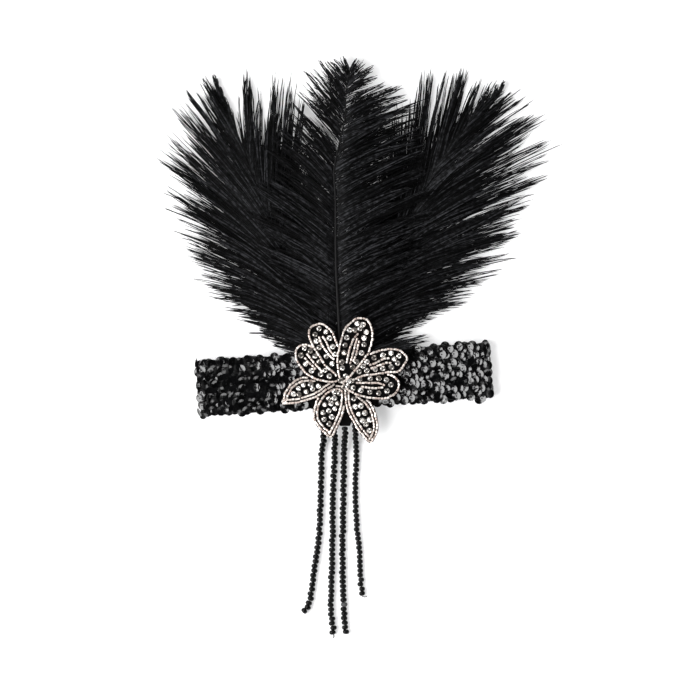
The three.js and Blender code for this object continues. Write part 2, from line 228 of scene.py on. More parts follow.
@dataclass(frozen=True)
class BarbFinish:
    """Dyed ostrich barbs: near black, with a faint cool sheen painted into the colour as short
    lighter streaks that vary from barb to barb.
    """

    dark: tuple = (0.0003, 0.0003, 0.0004)
    # light is the colour of the painted highlight streaks, not a dye.
    light: tuple = (0.042, 0.043, 0.047)
    contrast: float = 4.0
    painted_sheen_gain: float = 14.5
    roughness: float = 0.5

    def material(self) -> bpy.types.Material:
        """Builds the material."""
        graph = Graph("ostrich_barbs")
        tone = graph.attribute("tone")
        # Painted highlight: fine noise and each barb's tone pick short lighter streaks in the
        # colour that stand in for the barbs' sheen.
        painted_glint = graph.noise(400.0, 3.0)
        painted_sheen = tone**self.contrast * painted_glint**self.contrast * self.painted_sheen_gain
        return graph.surface({
            "Base Color": graph.blend(painted_sheen, self.dark, self.light),
            "Roughness": tone * 0.15 + self.roughness,
            "IOR": 1.17,
        })


@dataclass(frozen=True)
class ShaftFinish:
    """The horny shaft of a plume, dyed black."""

    dark: tuple = (0.004, 0.004, 0.0042)
    light: tuple = (0.007, 0.007, 0.0075)

    def material(self) -> bpy.types.Material:
        """Builds the material."""
        graph = Graph("plume_shaft")
        grain = graph.noise(900.0, 4.0)
        return graph.surface({
            "Base Color": graph.blend(grain, self.dark, self.light),
            "Roughness": grain * 0.2 + 0.5,
            "Specular IOR Level": 0.12,
            "Normal": graph.bump(grain, 0.0001),
        })


@dataclass(frozen=True)
class SequinFinish:
    """Glossy black plastic cup sequins."""

    dark: tuple = (0.0005, 0.0005, 0.0006)
    light: tuple = (0.003, 0.003, 0.0034)

    def material(self) -> bpy.types.Material:
        """Builds the material."""
        graph = Graph("cup_sequins")
        tone = graph.attribute("tone")
        smear = graph.noise(700.0, 3.0)
        return graph.surface({
            "Base Color": graph.blend(tone, self.dark, self.light),
            "Roughness": tone * 0.06 + smear * 0.08 + 0.07,
            "IOR": 1.58,
            "Normal": graph.bump(smear, 0.00008),
        })


@dataclass(frozen=True)
class FeltFinish:
    """Black felt with a short matted nap."""

    name: str = "black_felt"
    dark: tuple = (0.0005, 0.0005, 0.0005)
    light: tuple = (0.006, 0.0055, 0.0055)
    bump: float = 0.0003

    def material(self) -> bpy.types.Material:
        """Builds the material."""
        graph = Graph(self.name)
        nap = graph.noise(2600.0, 5.0)
        patch = graph.noise(240.0, 2.0)
        return graph.surface({
            "Base Color": graph.blend(nap * patch * 1.4, self.dark, self.light),
            "Roughness": 0.95,
            "Specular IOR Level": 0.05,
            "Normal": graph.bump(nap, self.bump),
        })


@dataclass(frozen=True)
class ElasticFinish:
    """The knitted stretch cloth under the sequins, ribbed along the band."""

    dark: tuple = (0.004, 0.004, 0.004)
    light: tuple = (0.02, 0.02, 0.021)
    rib_scale: float = 210.0

    def material(self) -> bpy.types.Material:
        """Builds the material."""
        graph = Graph("stretch_cloth")
        place = graph.node("UVMap", {"uv_map": "weave"}).outputs["UV"]
        settings = {"wave_type": "BANDS", "bands_direction": "Y"}
        inputs = {"Vector": place, "Scale": self.rib_scale, "Distortion": 0.6}
        ribs = graph.node("TexWave", settings, inputs)
        knit = Value(graph, ribs.outputs["Fac"])
        fuzz = graph.noise(3000.0, 3.0)
        return graph.surface({
            "Base Color": graph.blend(knit * fuzz * 1.5, self.dark, self.light),
            "Roughness": 0.85,
            "Specular IOR Level": 0.2,
            "Normal": graph.bump(knit + fuzz * 0.4, 0.0003),
        })


@dataclass(frozen=True)
class MetalFinish:
    """A silvered bead or stone whose colour varies from one to the next."""

    name: str
    dark: tuple
    light: tuple
    metallic: float
    roughness: float
    grain: float = 1500.0

    def material(self) -> bpy.types.Material:
        """Builds the material."""
        graph = Graph(self.name)
        tone = graph.attribute("tone")
        wear = graph.noise(self.grain, 3.0)
        return graph.surface({
            "Base Color": graph.blend(tone, self.dark, self.light),
            "Metallic": self.metallic,
            "Roughness": wear * 0.12 + self.roughness,
            "Normal": graph.bump(wear, 0.00004),
        })


ROSE_SILVER = MetalFinish("rose_silver_beads", (0.45, 0.36, 0.32), (0.88, 0.82, 0.77), 0.45, 0.2)
PEWTER = MetalFinish("pewter_stones", (0.24, 0.22, 0.2), (0.92, 0.89, 0.86), 0.85, 0.1)


@dataclass(frozen=True)
class GlassBeadFinish:
    """Opaque glossy black glass beads."""

    dark: tuple = (0.0003, 0.0003, 0.0004)
    light: tuple = (0.06, 0.06, 0.062)
    rarity: float = 12.0

    def material(self) -> bpy.types.Material:
        """Builds the material."""
        graph = Graph("black_glass_beads")
        tone = graph.attribute("tone")
        dust = graph.noise(1200.0, 3.0)
        return graph.surface({
            "Base Color": graph.blend(tone**self.rarity, self.dark, self.light),
            "Roughness": dust * 0.06 + tone * 0.04 + 0.03,
            "IOR": 1.26,
        })


@dataclass(frozen=True)
class TableFinish:
    """A plain white table top, with a faint glow that keeps the shadows light."""

    light: tuple = (0.74, 0.74, 0.745)
    dark: tuple = (0.71, 0.71, 0.715)
    glow: float = 0.33

    def material(self) -> bpy.types.Material:
        """Builds the material."""
        graph = Graph("white_table")
        cloud = graph.noise(3.0, 2.0)
        return graph.surface({
            "Base Color": graph.blend(cloud * 0.1, self.light, self.dark),
            "Roughness": 0.9,
            "Specular IOR Level": 0.1,
            "Emission Color": (1, 1, 1, 1),
            "Emission Strength": self.glow,
        })


# ---------------------------------------------------------------- geometry helpers


def add_object(name: str, mesh: bpy.types.Mesh) -> bpy.types.Object:
    """Puts a mesh into the scene as an object at the origin."""
    made = bpy.data.objects.new(name, mesh)
    bpy.context.scene.collection.objects.link(made)
    return made


def finish_piece(
    piece: bpy.types.Object, material: bpy.types.Material, replaces: Sequence[str] = ()
) -> bpy.types.Object:
    """Gives a piece its material and its place in the frame.

    Args:
        piece: The object.
        material: Its material.
        replaces: The CAD nodes that it stands for.

    Returns:
        The same object.
    """
    piece.data.materials.clear()
    piece.data.materials.append(material)
    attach(piece, ROOT)
    if replaces:
        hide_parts(*replaces)
    faces = sum(len(p.vertices) - 2 for p in piece.data.polygons)
    LOG.info("%s: %d triangles", piece.name, faces)
    return piece


def object_from(name: str, shape: bmesh.types.BMesh, smooth: float = 40.0) -> bpy.types.Object:
    """Turns a bmesh in millimetres into an object in metres.

    Args:
        name: The object's name.
        shape: The bmesh, which is freed.
        smooth: Edges flatter than this angle, in degrees, are shaded smooth.

    Returns:
        The object.
    """
    bmesh.ops.scale(shape, vec=(MM, MM, MM), verts=shape.verts)
    mesh = bpy.data.meshes.new(name)
    shape.to_mesh(mesh)
    shape.free()
    mesh.shade_smooth()
    mesh.set_sharp_from_angle(angle=math.radians(smooth))
    return add_object(name, mesh)


def corners(shape: bmesh.types.BMesh) -> np.ndarray:
    """The places of a shape's corners, as rows of x, y and z."""
    return np.array([vert.co for vert in shape.verts], float)


def move_corners(shape: bmesh.types.BMesh, places: np.ndarray) -> None:
    """Puts each corner of a shape at its own place."""
    for vert, place in zip(shape.verts, places, strict=True):
        vert.co = place


class Route:
    """A smooth line through a few points, measured along its length.

    Attributes:
        samples: How many points stand for the line between two of those.
        step: The share of the length that a heading is measured over, each way.
    """

    samples = 16
    step = 0.004

    def __init__(self, knots: Sequence[Sequence[float]], closed: bool = False) -> None:
        """Samples the line.

        Args:
            knots: The points that it passes through.
            closed: Whether it comes back to its first point.
        """
        rows = np.asarray(knots, float)
        count = len(rows)
        spans = count if closed else count - 1
        places = np.arange(-1, spans + 2)
        rows = rows[places % count if closed else np.clip(places, 0, count - 1)]
        share = np.linspace(0, 1, self.samples, endpoint=False)[:, None]
        parts = []
        for a, b, c, d in zip(rows, rows[1:], rows[2:], rows[3:], strict=False):
            parts.append(0.5 * (
                2 * b + (c - a) * share + (2 * a - 5 * b + 4 * c - d) * share**2
                + (3 * b - a - 3 * c + d) * share**3
            ))
        parts.append(rows[-2][None])
        self.points = np.concatenate(parts)
        steps = np.linalg.norm(np.diff(self.points, axis=0), axis=1)
        self.marks = np.concatenate([[0.0], np.cumsum(steps)])
        self.length = float(self.marks[-1])

    def at(self, shares: np.ndarray) -> np.ndarray:
        """The points at these shares of the length, from 0 to 1."""
        where = np.clip(np.asarray(shares, float), 0, 1) * self.length
        columns = [np.interp(where, self.marks, c) for c in self.points.T]
        return np.stack(columns, axis=-1)

    def heading(self, shares: np.ndarray) -> np.ndarray:
        """The line's unit direction at these shares of its length."""
        run = self.at(np.asarray(shares) + self.step) - self.at(np.asarray(shares) - self.step)
        return run / np.linalg.norm(run, axis=-1, keepdims=True)


def lathe(profile: Sequence[Sequence[float]], steps: int, closed: bool = True) -> bmesh.types.BMesh:
    """Spins a profile of radius and height about the Z axis.

    Args:
        profile: Rows of radius and height.
        steps: The number of sides.
        closed: Whether the profile's last point joins its first.

    Returns:
        The closed shape.
    """
    shape = bmesh.new()
    dots = [shape.verts.new((radius, 0, height)) for radius, height in profile]
    pairs = list(zip(dots, dots[1:], strict=False)) + ([(dots[-1], dots[0])] if closed else [])
    edges = [shape.edges.new(pair) for pair in pairs]
    bmesh.ops.spin(
        shape, geom=dots + edges, cent=(0, 0, 0), axis=(0, 0, 1), dvec=(0, 0, 0),
        angle=2 * math.pi, steps=steps, use_merge=True, use_duplicate=False,
    )
    bmesh.ops.remove_doubles(shape, verts=shape.verts, dist=1e-5)
    bmesh.ops.recalc_face_normals(shape, faces=shape.faces)
    return shape


def prism(sides: int, levels: int, pointed: bool) -> bmesh.types.BMesh:
    """A unit bar along +Z, in rings of radius 1 at equal heights from 0 to 1.

    Args:
        sides: The sides of the section.
        levels: The stretches from end to end.
        pointed: Whether the far end is drawn to a point.

    Returns:
        The closed bar.
    """
    shape = bmesh.new()
    ring = bmesh.ops.create_circle(shape, cap_ends=True, segments=sides, radius=1)["verts"]
    edges = list(shape.edges)
    for _ in range(levels):
        grown = bmesh.ops.extrude_edge_only(shape, edges=edges)["geom"]
        ring = [part for part in grown if isinstance(part, bmesh.types.BMVert)]
        bmesh.ops.translate(shape, vec=(0, 0, 1 / levels), verts=ring)
        edges = [e for e in shape.edges if all(v in ring for v in e.verts)]
    if pointed:
        bmesh.ops.pointmerge(shape, verts=ring, merge_co=(0, 0, 1))
    else:
        bmesh.ops.contextual_create(shape, geom=edges)
    bmesh.ops.recalc_face_normals(shape, faces=shape.faces)
    return shape


class Swarm:
    """One small shape repeated many times in one mesh."""

    def __init__(self, name: str, shape: bmesh.types.BMesh, smooth: float = 40.0) -> None:
        """Takes the shape that is repeated.

        Args:
            name: The name of the object that the copies make.
            shape: The shape, which is freed.
            smooth: Edges flatter than this angle, in degrees, are shaded smooth.
        """
        self.name = name
        self.smooth = smooth
        self.points = corners(shape)
        self.mesh = bpy.data.meshes.new(name)
        shape.to_mesh(self.mesh)
        shape.free()

    def grow(self, places: np.ndarray, tones: np.ndarray) -> bpy.types.Object:
        """Makes the copies with an array and puts each where it belongs.

        Args:
            places: The points of every copy, as copies by points by three, in millimetres.
            tones: A number from 0 to 1 for each copy, which its finish reads.

        Returns:
            The object.
        """
        made = add_object(self.name, self.mesh)
        copies = made.modifiers.new("copies", "ARRAY")
        copies.use_relative_offset = False
        copies.count = len(places)
        graph = bpy.context.evaluated_depsgraph_get()
        mesh = bpy.data.meshes.new_from_object(made.evaluated_get(graph))
        made.modifiers.clear()
        made.data = mesh
        mesh.name = self.name
        mesh.vertices.foreach_set("co", (places * MM).astype(np.float32).ravel())
        tone = mesh.attributes.new("tone", "FLOAT", "POINT")
        tone.data.foreach_set("value", np.repeat(tones, len(self.points)).astype(np.float32))
        mesh.shade_smooth()
        if self.smooth < 180:
            mesh.set_sharp_from_angle(angle=math.radians(self.smooth))
        mesh.update()
        return made

    def set_down(
        self, origins: np.ndarray, frames: np.ndarray, tones: np.ndarray
    ) -> bpy.types.Object:
        """Sets the copies down at points, turned and sized by frames.

        Args:
            origins: Where each copy's own origin goes.
            frames: For each copy, three rows: where its X, Y and Z axes point, and how long.
            tones: A number from 0 to 1 for each copy.

        Returns:
            The object.
        """
        places = origins[:, None, :] + np.einsum("nk,ckd->cnd", self.points, frames)
        return self.grow(places, tones)


def frames_along(forward: np.ndarray) -> np.ndarray:
    """Right-handed frames whose Z axis is forward and whose Y axis is nearest to straight up."""
    z = forward / np.linalg.norm(forward, axis=-1, keepdims=True)
    x = np.cross(STRAIGHT_UP, z)
    x /= np.linalg.norm(x, axis=-1, keepdims=True)
    return np.stack([x, np.cross(z, x), z], axis=1)


def frames_on(normal: np.ndarray, along: np.ndarray) -> np.ndarray:
    """Right-handed frames whose Z axis is the normal and whose X axis is nearest to along."""
    z = normal / np.linalg.norm(normal, axis=-1, keepdims=True)
    y = np.cross(z, along)
    y /= np.linalg.norm(y, axis=-1, keepdims=True)
    return np.stack([np.cross(y, z), y, z], axis=1)


def bar_along(
    name: str, line: Route, sides: int, levels: int, start: float, end: float
) -> bpy.types.Object:
    """Makes a round bar that follows a line.

    Args:
        name: The object's name.
        line: The line.
        sides: The sides of the bar's section.
        levels: The stretches from end to end.
        start: The bar's radius at the line's start.
        end: The same at its end.

    Returns:
        The object.
    """
    shape = prism(sides, levels, pointed=False)
    spots = corners(shape)
    reach = spots[:, 2]
    around = spots[:, :2] * (start + (end - start) * reach)[:, None]
    axes = frames_along(line.heading(reach))[:, :2]
    move_corners(shape, line.at(reach) + np.einsum("nk,nkd->nd", around, axes))
    return object_from(name, shape)


def thicken(shape: bmesh.types.BMesh, wall: float, rounding: float) -> float:
    """Raises a filled outline into a felt with rounded rims.

    Args:
        shape: The outline.
        wall: The felt's thickness.
        rounding: The radius of its rims.

    Returns:
        The outline's area.
    """
    bmesh.ops.recalc_face_normals(shape, faces=shape.faces)
    area = sum(face.calc_area() for face in shape.faces)
    grown = bmesh.ops.extrude_face_region(shape, geom=list(shape.faces))["geom"]
    raised = [part for part in grown if isinstance(part, bmesh.types.BMVert)]
    bmesh.ops.translate(shape, vec=(0, 0, wall), verts=raised)
    bmesh.ops.recalc_face_normals(shape, faces=shape.faces)
    rim = [e for e in shape.edges if len(e.link_faces) == 2 and e.calc_face_angle(0) > 1]
    bmesh.ops.bevel(
        shape, geom=rim, offset=rounding, segments=2, profile=0.5, affect="EDGES", material=-1
    )
    return area


def inside(points: np.ndarray, outline: np.ndarray) -> np.ndarray:
    """Which points lie in a closed outline.

    Args:
        points: Points by two.
        outline: The outline's corners by two.

    Returns:
        A true or false for each point.
    """
    x, y = points[:, 0][:, None], points[:, 1][:, None]
    ax, ay = outline.T
    bx, by = np.roll(outline, -1, axis=0).T
    rise = np.where(by == ay, 1e-9, by - ay)
    crossed = ((ay > y) != (by > y)) & (x < (bx - ax) * (y - ay) / rise + ax)
    return crossed.sum(axis=1) % 2 == 1


def direction(angle: float) -> np.ndarray:
    """The unit direction in plan at an angle in degrees from +X."""
    return np.array([math.cos(math.radians(angle)), math.sin(math.radians(angle))])


# ---------------------------------------------------------------- the band


@dataclass
class SequinBand:
    """The stretch loop laid flat, with rows of overlapping cup sequins all round it.

    Attributes:
        fold_centre: How far the middle of each end fold is from the band's middle.
        shift: How far the whole band lies along X from its CAD node.
        left_lean: How far the sequins of the left part lean along the band, in degrees.
        right_lean: The same for those further right, which were brushed the other way.
        brush_start: Where along X the lean starts to change, over the length brush_run.
        roll: How far the sequins lean across the band, in degrees.
        unrest: How far single sequins stray from that, in degrees.
        stagger: How far they stray along their row, as a share of the pitch.
        row_stray: How far they stray across it.
        overhang: How far past their row those of the outer rows may lie, from and to.
        pressed_share: The share of its lean that a sequin keeps under the flower or the band.
    """

    fold_centre: float = 95.0
    shift: float = -0.8
    cloth_radius: float = 3.9
    cloth_wall: float = 1.0
    width: float = 37.0
    rows: int = 8
    row_pitch: float = 4.55
    pitch: float = 4.5
    sequin_radius: float = 3.15
    left_lean: float = 13.0
    right_lean: float = -13.0
    brush_start: float = -75.0
    brush_run: float = 60.0
    roll: float = -6.0
    unrest: float = 8.0
    pressed_share: float = 0.3
    stagger: float = 0.3
    row_stray: float = 0.65
    overhang: tuple = (0.3, 2.1)
    seed: int = 4

    @property
    def perimeter(self) -> float:
        """The length round the outside of the cloth."""
        return 4 * self.fold_centre + 2 * math.pi * self.cloth_radius

    def surface(self, run: np.ndarray, across: np.ndarray) -> tuple[np.ndarray, ...]:
        """Where a place on the laid-out cloth is on the loop.

        Args:
            run: The distance round the loop, from the left end of the front layer.
            across: The distance from the band's centre line.

        Returns:
            The points, the outward normals and the directions round the loop.
        """
        straight, bend = 2 * self.fold_centre, math.pi * self.cloth_radius
        run = run % self.perimeter
        back = run >= straight + bend
        local = np.where(back, run - straight - bend, run)
        turn = np.clip((local - straight) / self.cloth_radius, 0, math.pi)
        flat = np.minimum(local, straight)
        flip = np.where(back, -1.0, 1.0)
        x = flip * (-self.fold_centre + flat + self.cloth_radius * np.sin(turn)) + self.shift
        z = BAND_TOP / 2 + flip * self.cloth_radius * np.cos(turn)
        normal = np.stack([flip * np.sin(turn), 0 * x, flip * np.cos(turn)], axis=-1)
        along = np.stack([flip * np.cos(turn), 0 * x, -flip * np.sin(turn)], axis=-1)
        points = np.stack([x, across, z], axis=-1)
        spin = np.array([
            [math.cos(BAND_TILT), math.sin(BAND_TILT), 0],
            [-math.sin(BAND_TILT), math.cos(BAND_TILT), 0],
            [0, 0, 1],
        ])
        return points @ spin, normal @ spin, along @ spin

    def cloth(self) -> bpy.types.Object:
        """The cloth itself, a ribbed loop with slightly wavy edges."""
        shape = bmesh.new()
        bmesh.ops.create_grid(shape, x_segments=120, y_segments=18, size=0.5)
        weave = shape.loops.layers.uv.new("weave")
        for face in shape.faces:
            for corner in face.loops:
                spot = corner.vert.co
                corner[weave].uv = ((spot.x + 0.5) * self.perimeter * MM, spot.y * self.width * MM)
        grid = corners(shape)
        run, across = (grid[:, 0] + 0.5) * self.perimeter, grid[:, 1] * self.width
        edge = (np.abs(grid[:, 1]) * 2) ** 4
        across = across + edge * 0.5 * np.sin(run * 2 * math.pi * 23 / self.perimeter)
        points, normals, _ = self.surface(run, across)
        rib = np.cos(across * 2 * math.pi / self.row_pitch)
        ripple = 0.15 * rib + 0.12 * np.sin(run * 2 * math.pi * 31 / self.perimeter)
        move_corners(shape, points + normals * ripple[:, None])
        bmesh.ops.remove_doubles(shape, verts=shape.verts, dist=0.01)
        bmesh.ops.solidify(shape, geom=shape.faces, thickness=self.cloth_wall)
        bmesh.ops.recalc_face_normals(shape, faces=shape.faces)
        piece = object_from("stretch_cloth", shape)
        finish_piece(piece, ElasticFinish().material(), ["sequin_band"])
        return piece

    def sequins(self) -> bpy.types.Object:
        """The sequins, sewn on in rows, each lying over the edge of the one before."""
        rng = np.random.default_rng(self.seed)
        count = round(self.perimeter / self.pitch)
        column, row = np.meshgrid(np.arange(count), np.arange(self.rows))
        column, row = column.ravel(), row.ravel()
        total = len(column)
        place = column + 0.5 * (row % 2) + self.stagger * rng.uniform(-1, 1, total)
        run = place * self.perimeter / count
        row_place = row - (self.rows - 1) / 2
        across = row_place * self.row_pitch + rng.normal(0, self.row_stray, total)
        outer = (np.abs(row_place) > self.rows / 2 - 1) & (column % 2 == 0)
        across += outer * np.sign(across) * rng.uniform(*self.overhang, total)
        points, normal, along = self.surface(run, across)
        side = np.cross(normal, along)
        near = np.linalg.norm(points[:, :2] - FLOWER_CENTRE, axis=1) < BACKING_RADIUS + 3
        pressed = (near & (normal[:, 2] > 0.9)) | (normal[:, 2] < -0.7)
        loose = np.where(pressed, self.pressed_share, 1.0)
        level = np.clip(2 * normal[:, 2], 0, 1)
        brushed = np.clip((points[:, 0] - self.brush_start) / self.brush_run, 0, 1)
        lean = self.left_lean + (self.right_lean - self.left_lean) * brushed
        lean = np.radians(lean * level + rng.normal(0, self.unrest, total)) * loose
        roll = np.radians(self.roll * level + rng.normal(0, self.unrest, total)) * loose
        facing = normal + np.tan(lean)[:, None] * along + np.tan(roll)[:, None] * side
        frames = frames_on(facing, along) * self.sequin_radius
        frames *= rng.uniform(0.94, 1.04, total)[:, None, None]
        lift = np.where(pressed, 0.25, 0.5 + rng.uniform(0, 0.35, total))
        points = points + normal * lift[:, None]
        upright = facing[:, 2] / np.linalg.norm(facing, axis=1)
        dip = np.sqrt(1 - upright**2) - 0.2 * np.minimum(upright, 0)
        points[:, 2] += np.maximum(0, 0.05 - (points[:, 2] - self.sequin_radius * dip))
        cup = [(0.17, 0), (0.42, 0), (1.0, 0.14), (1.0, 0.195), (0.41, 0.06), (0.17, 0.06)]
        swarm = Swarm("cup_sequins", lathe(cup, 12), smooth=12)
        piece = swarm.set_down(points, frames, rng.uniform(0, 1, total))
        return finish_piece(piece, SequinFinish().material())

    def build(self) -> None:
        """Builds the cloth and its sequins."""
        self.cloth()
        self.sequins()


# ---------------------------------------------------------------- felt and flower


class Form(Enum):
    """How a petal is beaded."""

    ROUND = "one line round the edge and two up the middle"
    POINTED = "two lines round the edge"


@dataclass(frozen=True)
class Petal:
    """A petal, measured from the flower's centre.

    Attributes:
        name: The petal, as the CAD node is named.
        angle: Its direction, in degrees from +X.
        form: How it is beaded.
        outline: Its edge line, in rows of along and across.
        stones: Where its stones are sewn, in rows of along and across.
        veins: The lines up its middle, each in rows of along and across.
    """

    name: str
    angle: float
    form: Form
    outline: tuple
    stones: tuple
    veins: tuple = ()

    def plan(self, rows: Sequence[Sequence[float]]) -> np.ndarray:
        """Turns rows of along and across into points in plan."""
        along, across = np.asarray(rows, float).T[:, :, None]
        return FLOWER_CENTRE + along * direction(self.angle) + across * direction(self.angle - 90)

    def edge(self, inset: float) -> np.ndarray:
        """The edge line, moved inwards.

        Args:
            inset: How far, or below 0 to move it outwards.

        Returns:
            A closed line of points in plan.
        """
        line = Route(self.outline, closed=True)
        shares = np.linspace(0, 1, 96, endpoint=False)
        spots, ahead = line.at(shares), line.heading(shares)
        following = np.roll(spots, -1, 0)
        turn = np.sum(following[:, 0] * spots[:, 1] - spots[:, 0] * following[:, 1])
        inward = np.stack([ahead[:, 1], -ahead[:, 0]], axis=1) * np.sign(turn)
        return self.plan(spots + inward * inset)


PETALS = (
    Petal(
        "petal_top", 74, Form.ROUND,
        ((1, -1.5), (12, -6.9), (21, -8.5), (34.8, -8.7), (40.7, -6), (44.6, -3.3), (46.2, 1.3),
         (45.2, 5.4), (40, 9.4), (33.6, 11.2), (25.3, 11.1), (19.8, 9.5), (13.4, 6.9), (3, 1.8)),
        ((41.6, -1.7), (42, 2.2), (36.1, -5.3), (37.1, -1.9), (38.9, 1.2), (37.7, 5.9),
         (30.6, -5.7), (33.5, 5.5), (25.3, -5.5), (29.4, 6.7), (20.1, -4.8), (23.4, 6.6),
         (13.6, -4.5), (16.7, 5.1), (10, -2.9), (12.4, 3.4)),
        (((14, -1.2), (22, -1.6), (30, -1.2), (35.5, 1.2)), ((14, 1.2), (21, 1.4), (28, 1.2),
         (32.5, 1)),
         ((16, 3), (24, 3.6), (31, 2.9))),
    ),
    Petal(
        "petal_upper_left", 111, Form.ROUND,
        ((2, -0.5), (8, -2.4), (13.9, -5.7), (21.9, -7.9), (29.7, -9.4), (35, -9.7), (39.4, -9.3),
         (42.6, -7.2), (43.7, -2.7), (42.2, 1.9), (37.9, 4.8), (32.3, 5.9), (25.7, 6), (14, 5.5),
         (5, 3)),
        ((40.3, -1.5), (36.7, 2), (37.6, -5.4), (31.8, 2.8), (33.1, -6.5), (28.4, -6), (25.7, 2.7),
         (21, -3.7), (20.3, 2.3), (15.1, -2)),
        (((35.6, -3.6), (30, -3.6), (24, -2.4), (17, 0.4)), ((34.6, -1), (29, 0), (24, 0),
         (19, 1.5))),
    ),
    Petal(
        "petal_upper_right", 21, Form.ROUND,
        ((4, -2), (10, -6), (16.4, -8.7), (22.4, -10.9), (28, -12), (33.6, -11.2), (38.3, -10),
         (43.8, -7.3), (46.7, -2.9), (46.7, 0.3), (41.9, 4.3), (37.4, 5.9), (31, 4), (22, 1.9),
         (14.4, 0.2), (4, 0.5)),
        ((26.3, -8.5), (32.3, -7.8), (37.9, -7.3), (42.4, -3.6), (38.5, -2.8), (39.8, 0.6),
         (34.8, 1.6), (29.1, 0.4), (24.1, -0.9), (20.8, -7.7), (17.2, -5.8), (18.4, -2.1),
         (13.3, -3.4)),
        (((21, -4.6), (27, -5), (32, -5.4), (36, -4.6)), ((21, -2.4), (27, -2.4), (32, -2.2),
         (36, -1.2))),
    ),
    Petal(
        "petal_left", 141, Form.ROUND,
        ((4, -1), (6.7, -4.2), (10.4, -6.4), (16.1, -9.1), (22.3, -10.2), (28.6, -9.1), (34, -7.2),
         (37.6, -3.8), (38.9, -0.2), (37.2, 3.5), (33.4, 5.5), (24, 6.5), (12, 5), (4, 2)),
        ((35, 2.2), (30.8, 3.3), (33.8, -3.1), (26.3, 2.6), (21.5, 1.4), (27.8, -5.7), (21.7, -6.6),
         (14.8, -0.6), (15.4, -4.6), (10, -1.8)),
        (((31.5, 0.6), (26, -0.8), (20, -1.8), (15, -2.4)), ((31, -2.6), (26, -3.4), (20, -4)),),
    ),
    Petal(
        "petal_right", -4, Form.ROUND,
        ((2, -2), (12, -6.2), (22, -7.8), (29.9, -8), (33.6, -7.4), (36.8, -5), (38.3, -0.9),
         (36.8, 3.5), (32.7, 6.8), (28, 8.4), (21.3, 8.5), (13.9, 7.8), (5.8, 5), (1.5, 1.5)),
        ((6.2, -2.3), (11.6, -3.6), (18.6, -4.4), (24.3, -5.1), (29.5, -4.5), (32.8, -1.4),
         (30.4, 3), (25, 4.9), (18.9, 4.7), (12.8, 3.9), (7.5, 2.5), (3.5, 1.9)),
        (((9, -1), (16, -1.4), (24, -1.8), (29, -0.6)), ((13, 1.4), (20, 1.8), (28, 0.9))),
    ),
    Petal(
        "petal_lower_left", 196, Form.POINTED,
        ((5, 1), (11.5, -0.9), (17.5, -3.2), (24.4, -4), (30.9, -4.1), (37, -3.3), (42.6, -1.9),
         (41.3, 1), (39.2, 4.3), (35.7, 7.7), (31.9, 9.8), (26.5, 11.1), (21.8, 10.4), (12, 7),
         (5, 3)),
        ((16.3, 2.8), (21, 5.1), (20.6, 1.8), (26, 6.2), (29.9, 4.8), (25.5, 1.3), (34.1, 2.2),
         (30.4, 0.9)),
    ),
    Petal(
        "petal_lower_right", -63, Form.POINTED,
        ((3, -1.4), (9, -5), (15, -8.4), (19.6, -10.3), (25.9, -10.7), (32.6, -9.3), (38.3, -6.8),
         (41.8, -3.2), (44, 1.2), (37.7, 3.5), (30.9, 4.8), (24.7, 5.1), (18.4, 5.1), (12.8, 3.8),
         (6, 0.9)),
        ((12.9, -2), (17.9, -0.4), (19.4, -4.1), (23.6, -0.2), (24.7, -4.4), (28.6, -0.7),
         (30.4, -4.9), (32, -1.4), (36.9, -1.6)),
    ),
    Petal(
        "petal_bottom", 258, Form.POINTED,
        ((3, -1.5), (8, -3.8), (14, -4.4), (19.6, -4.2), (25.4, -3.2), (31.9, -1.8), (37.2, 0.5),
         (35.2, 4.9), (31.9, 9.8), (27.7, 13.4), (21.8, 14.9), (16.1, 14.6), (10.7, 12.6), (5.7, 9),
         (2.7, 4)),
        ((6.7, 4.2), (6.9, 0.4), (12.3, 7), (10.9, 3.3), (16.8, 8.9), (15, 4.9), (14.1, 0.7),
         (22.4, 8.9), (20.3, 5.3), (18, 1.6), (23.8, 2.4), (26.6, 7.1), (28.9, 3)),
    ),
)


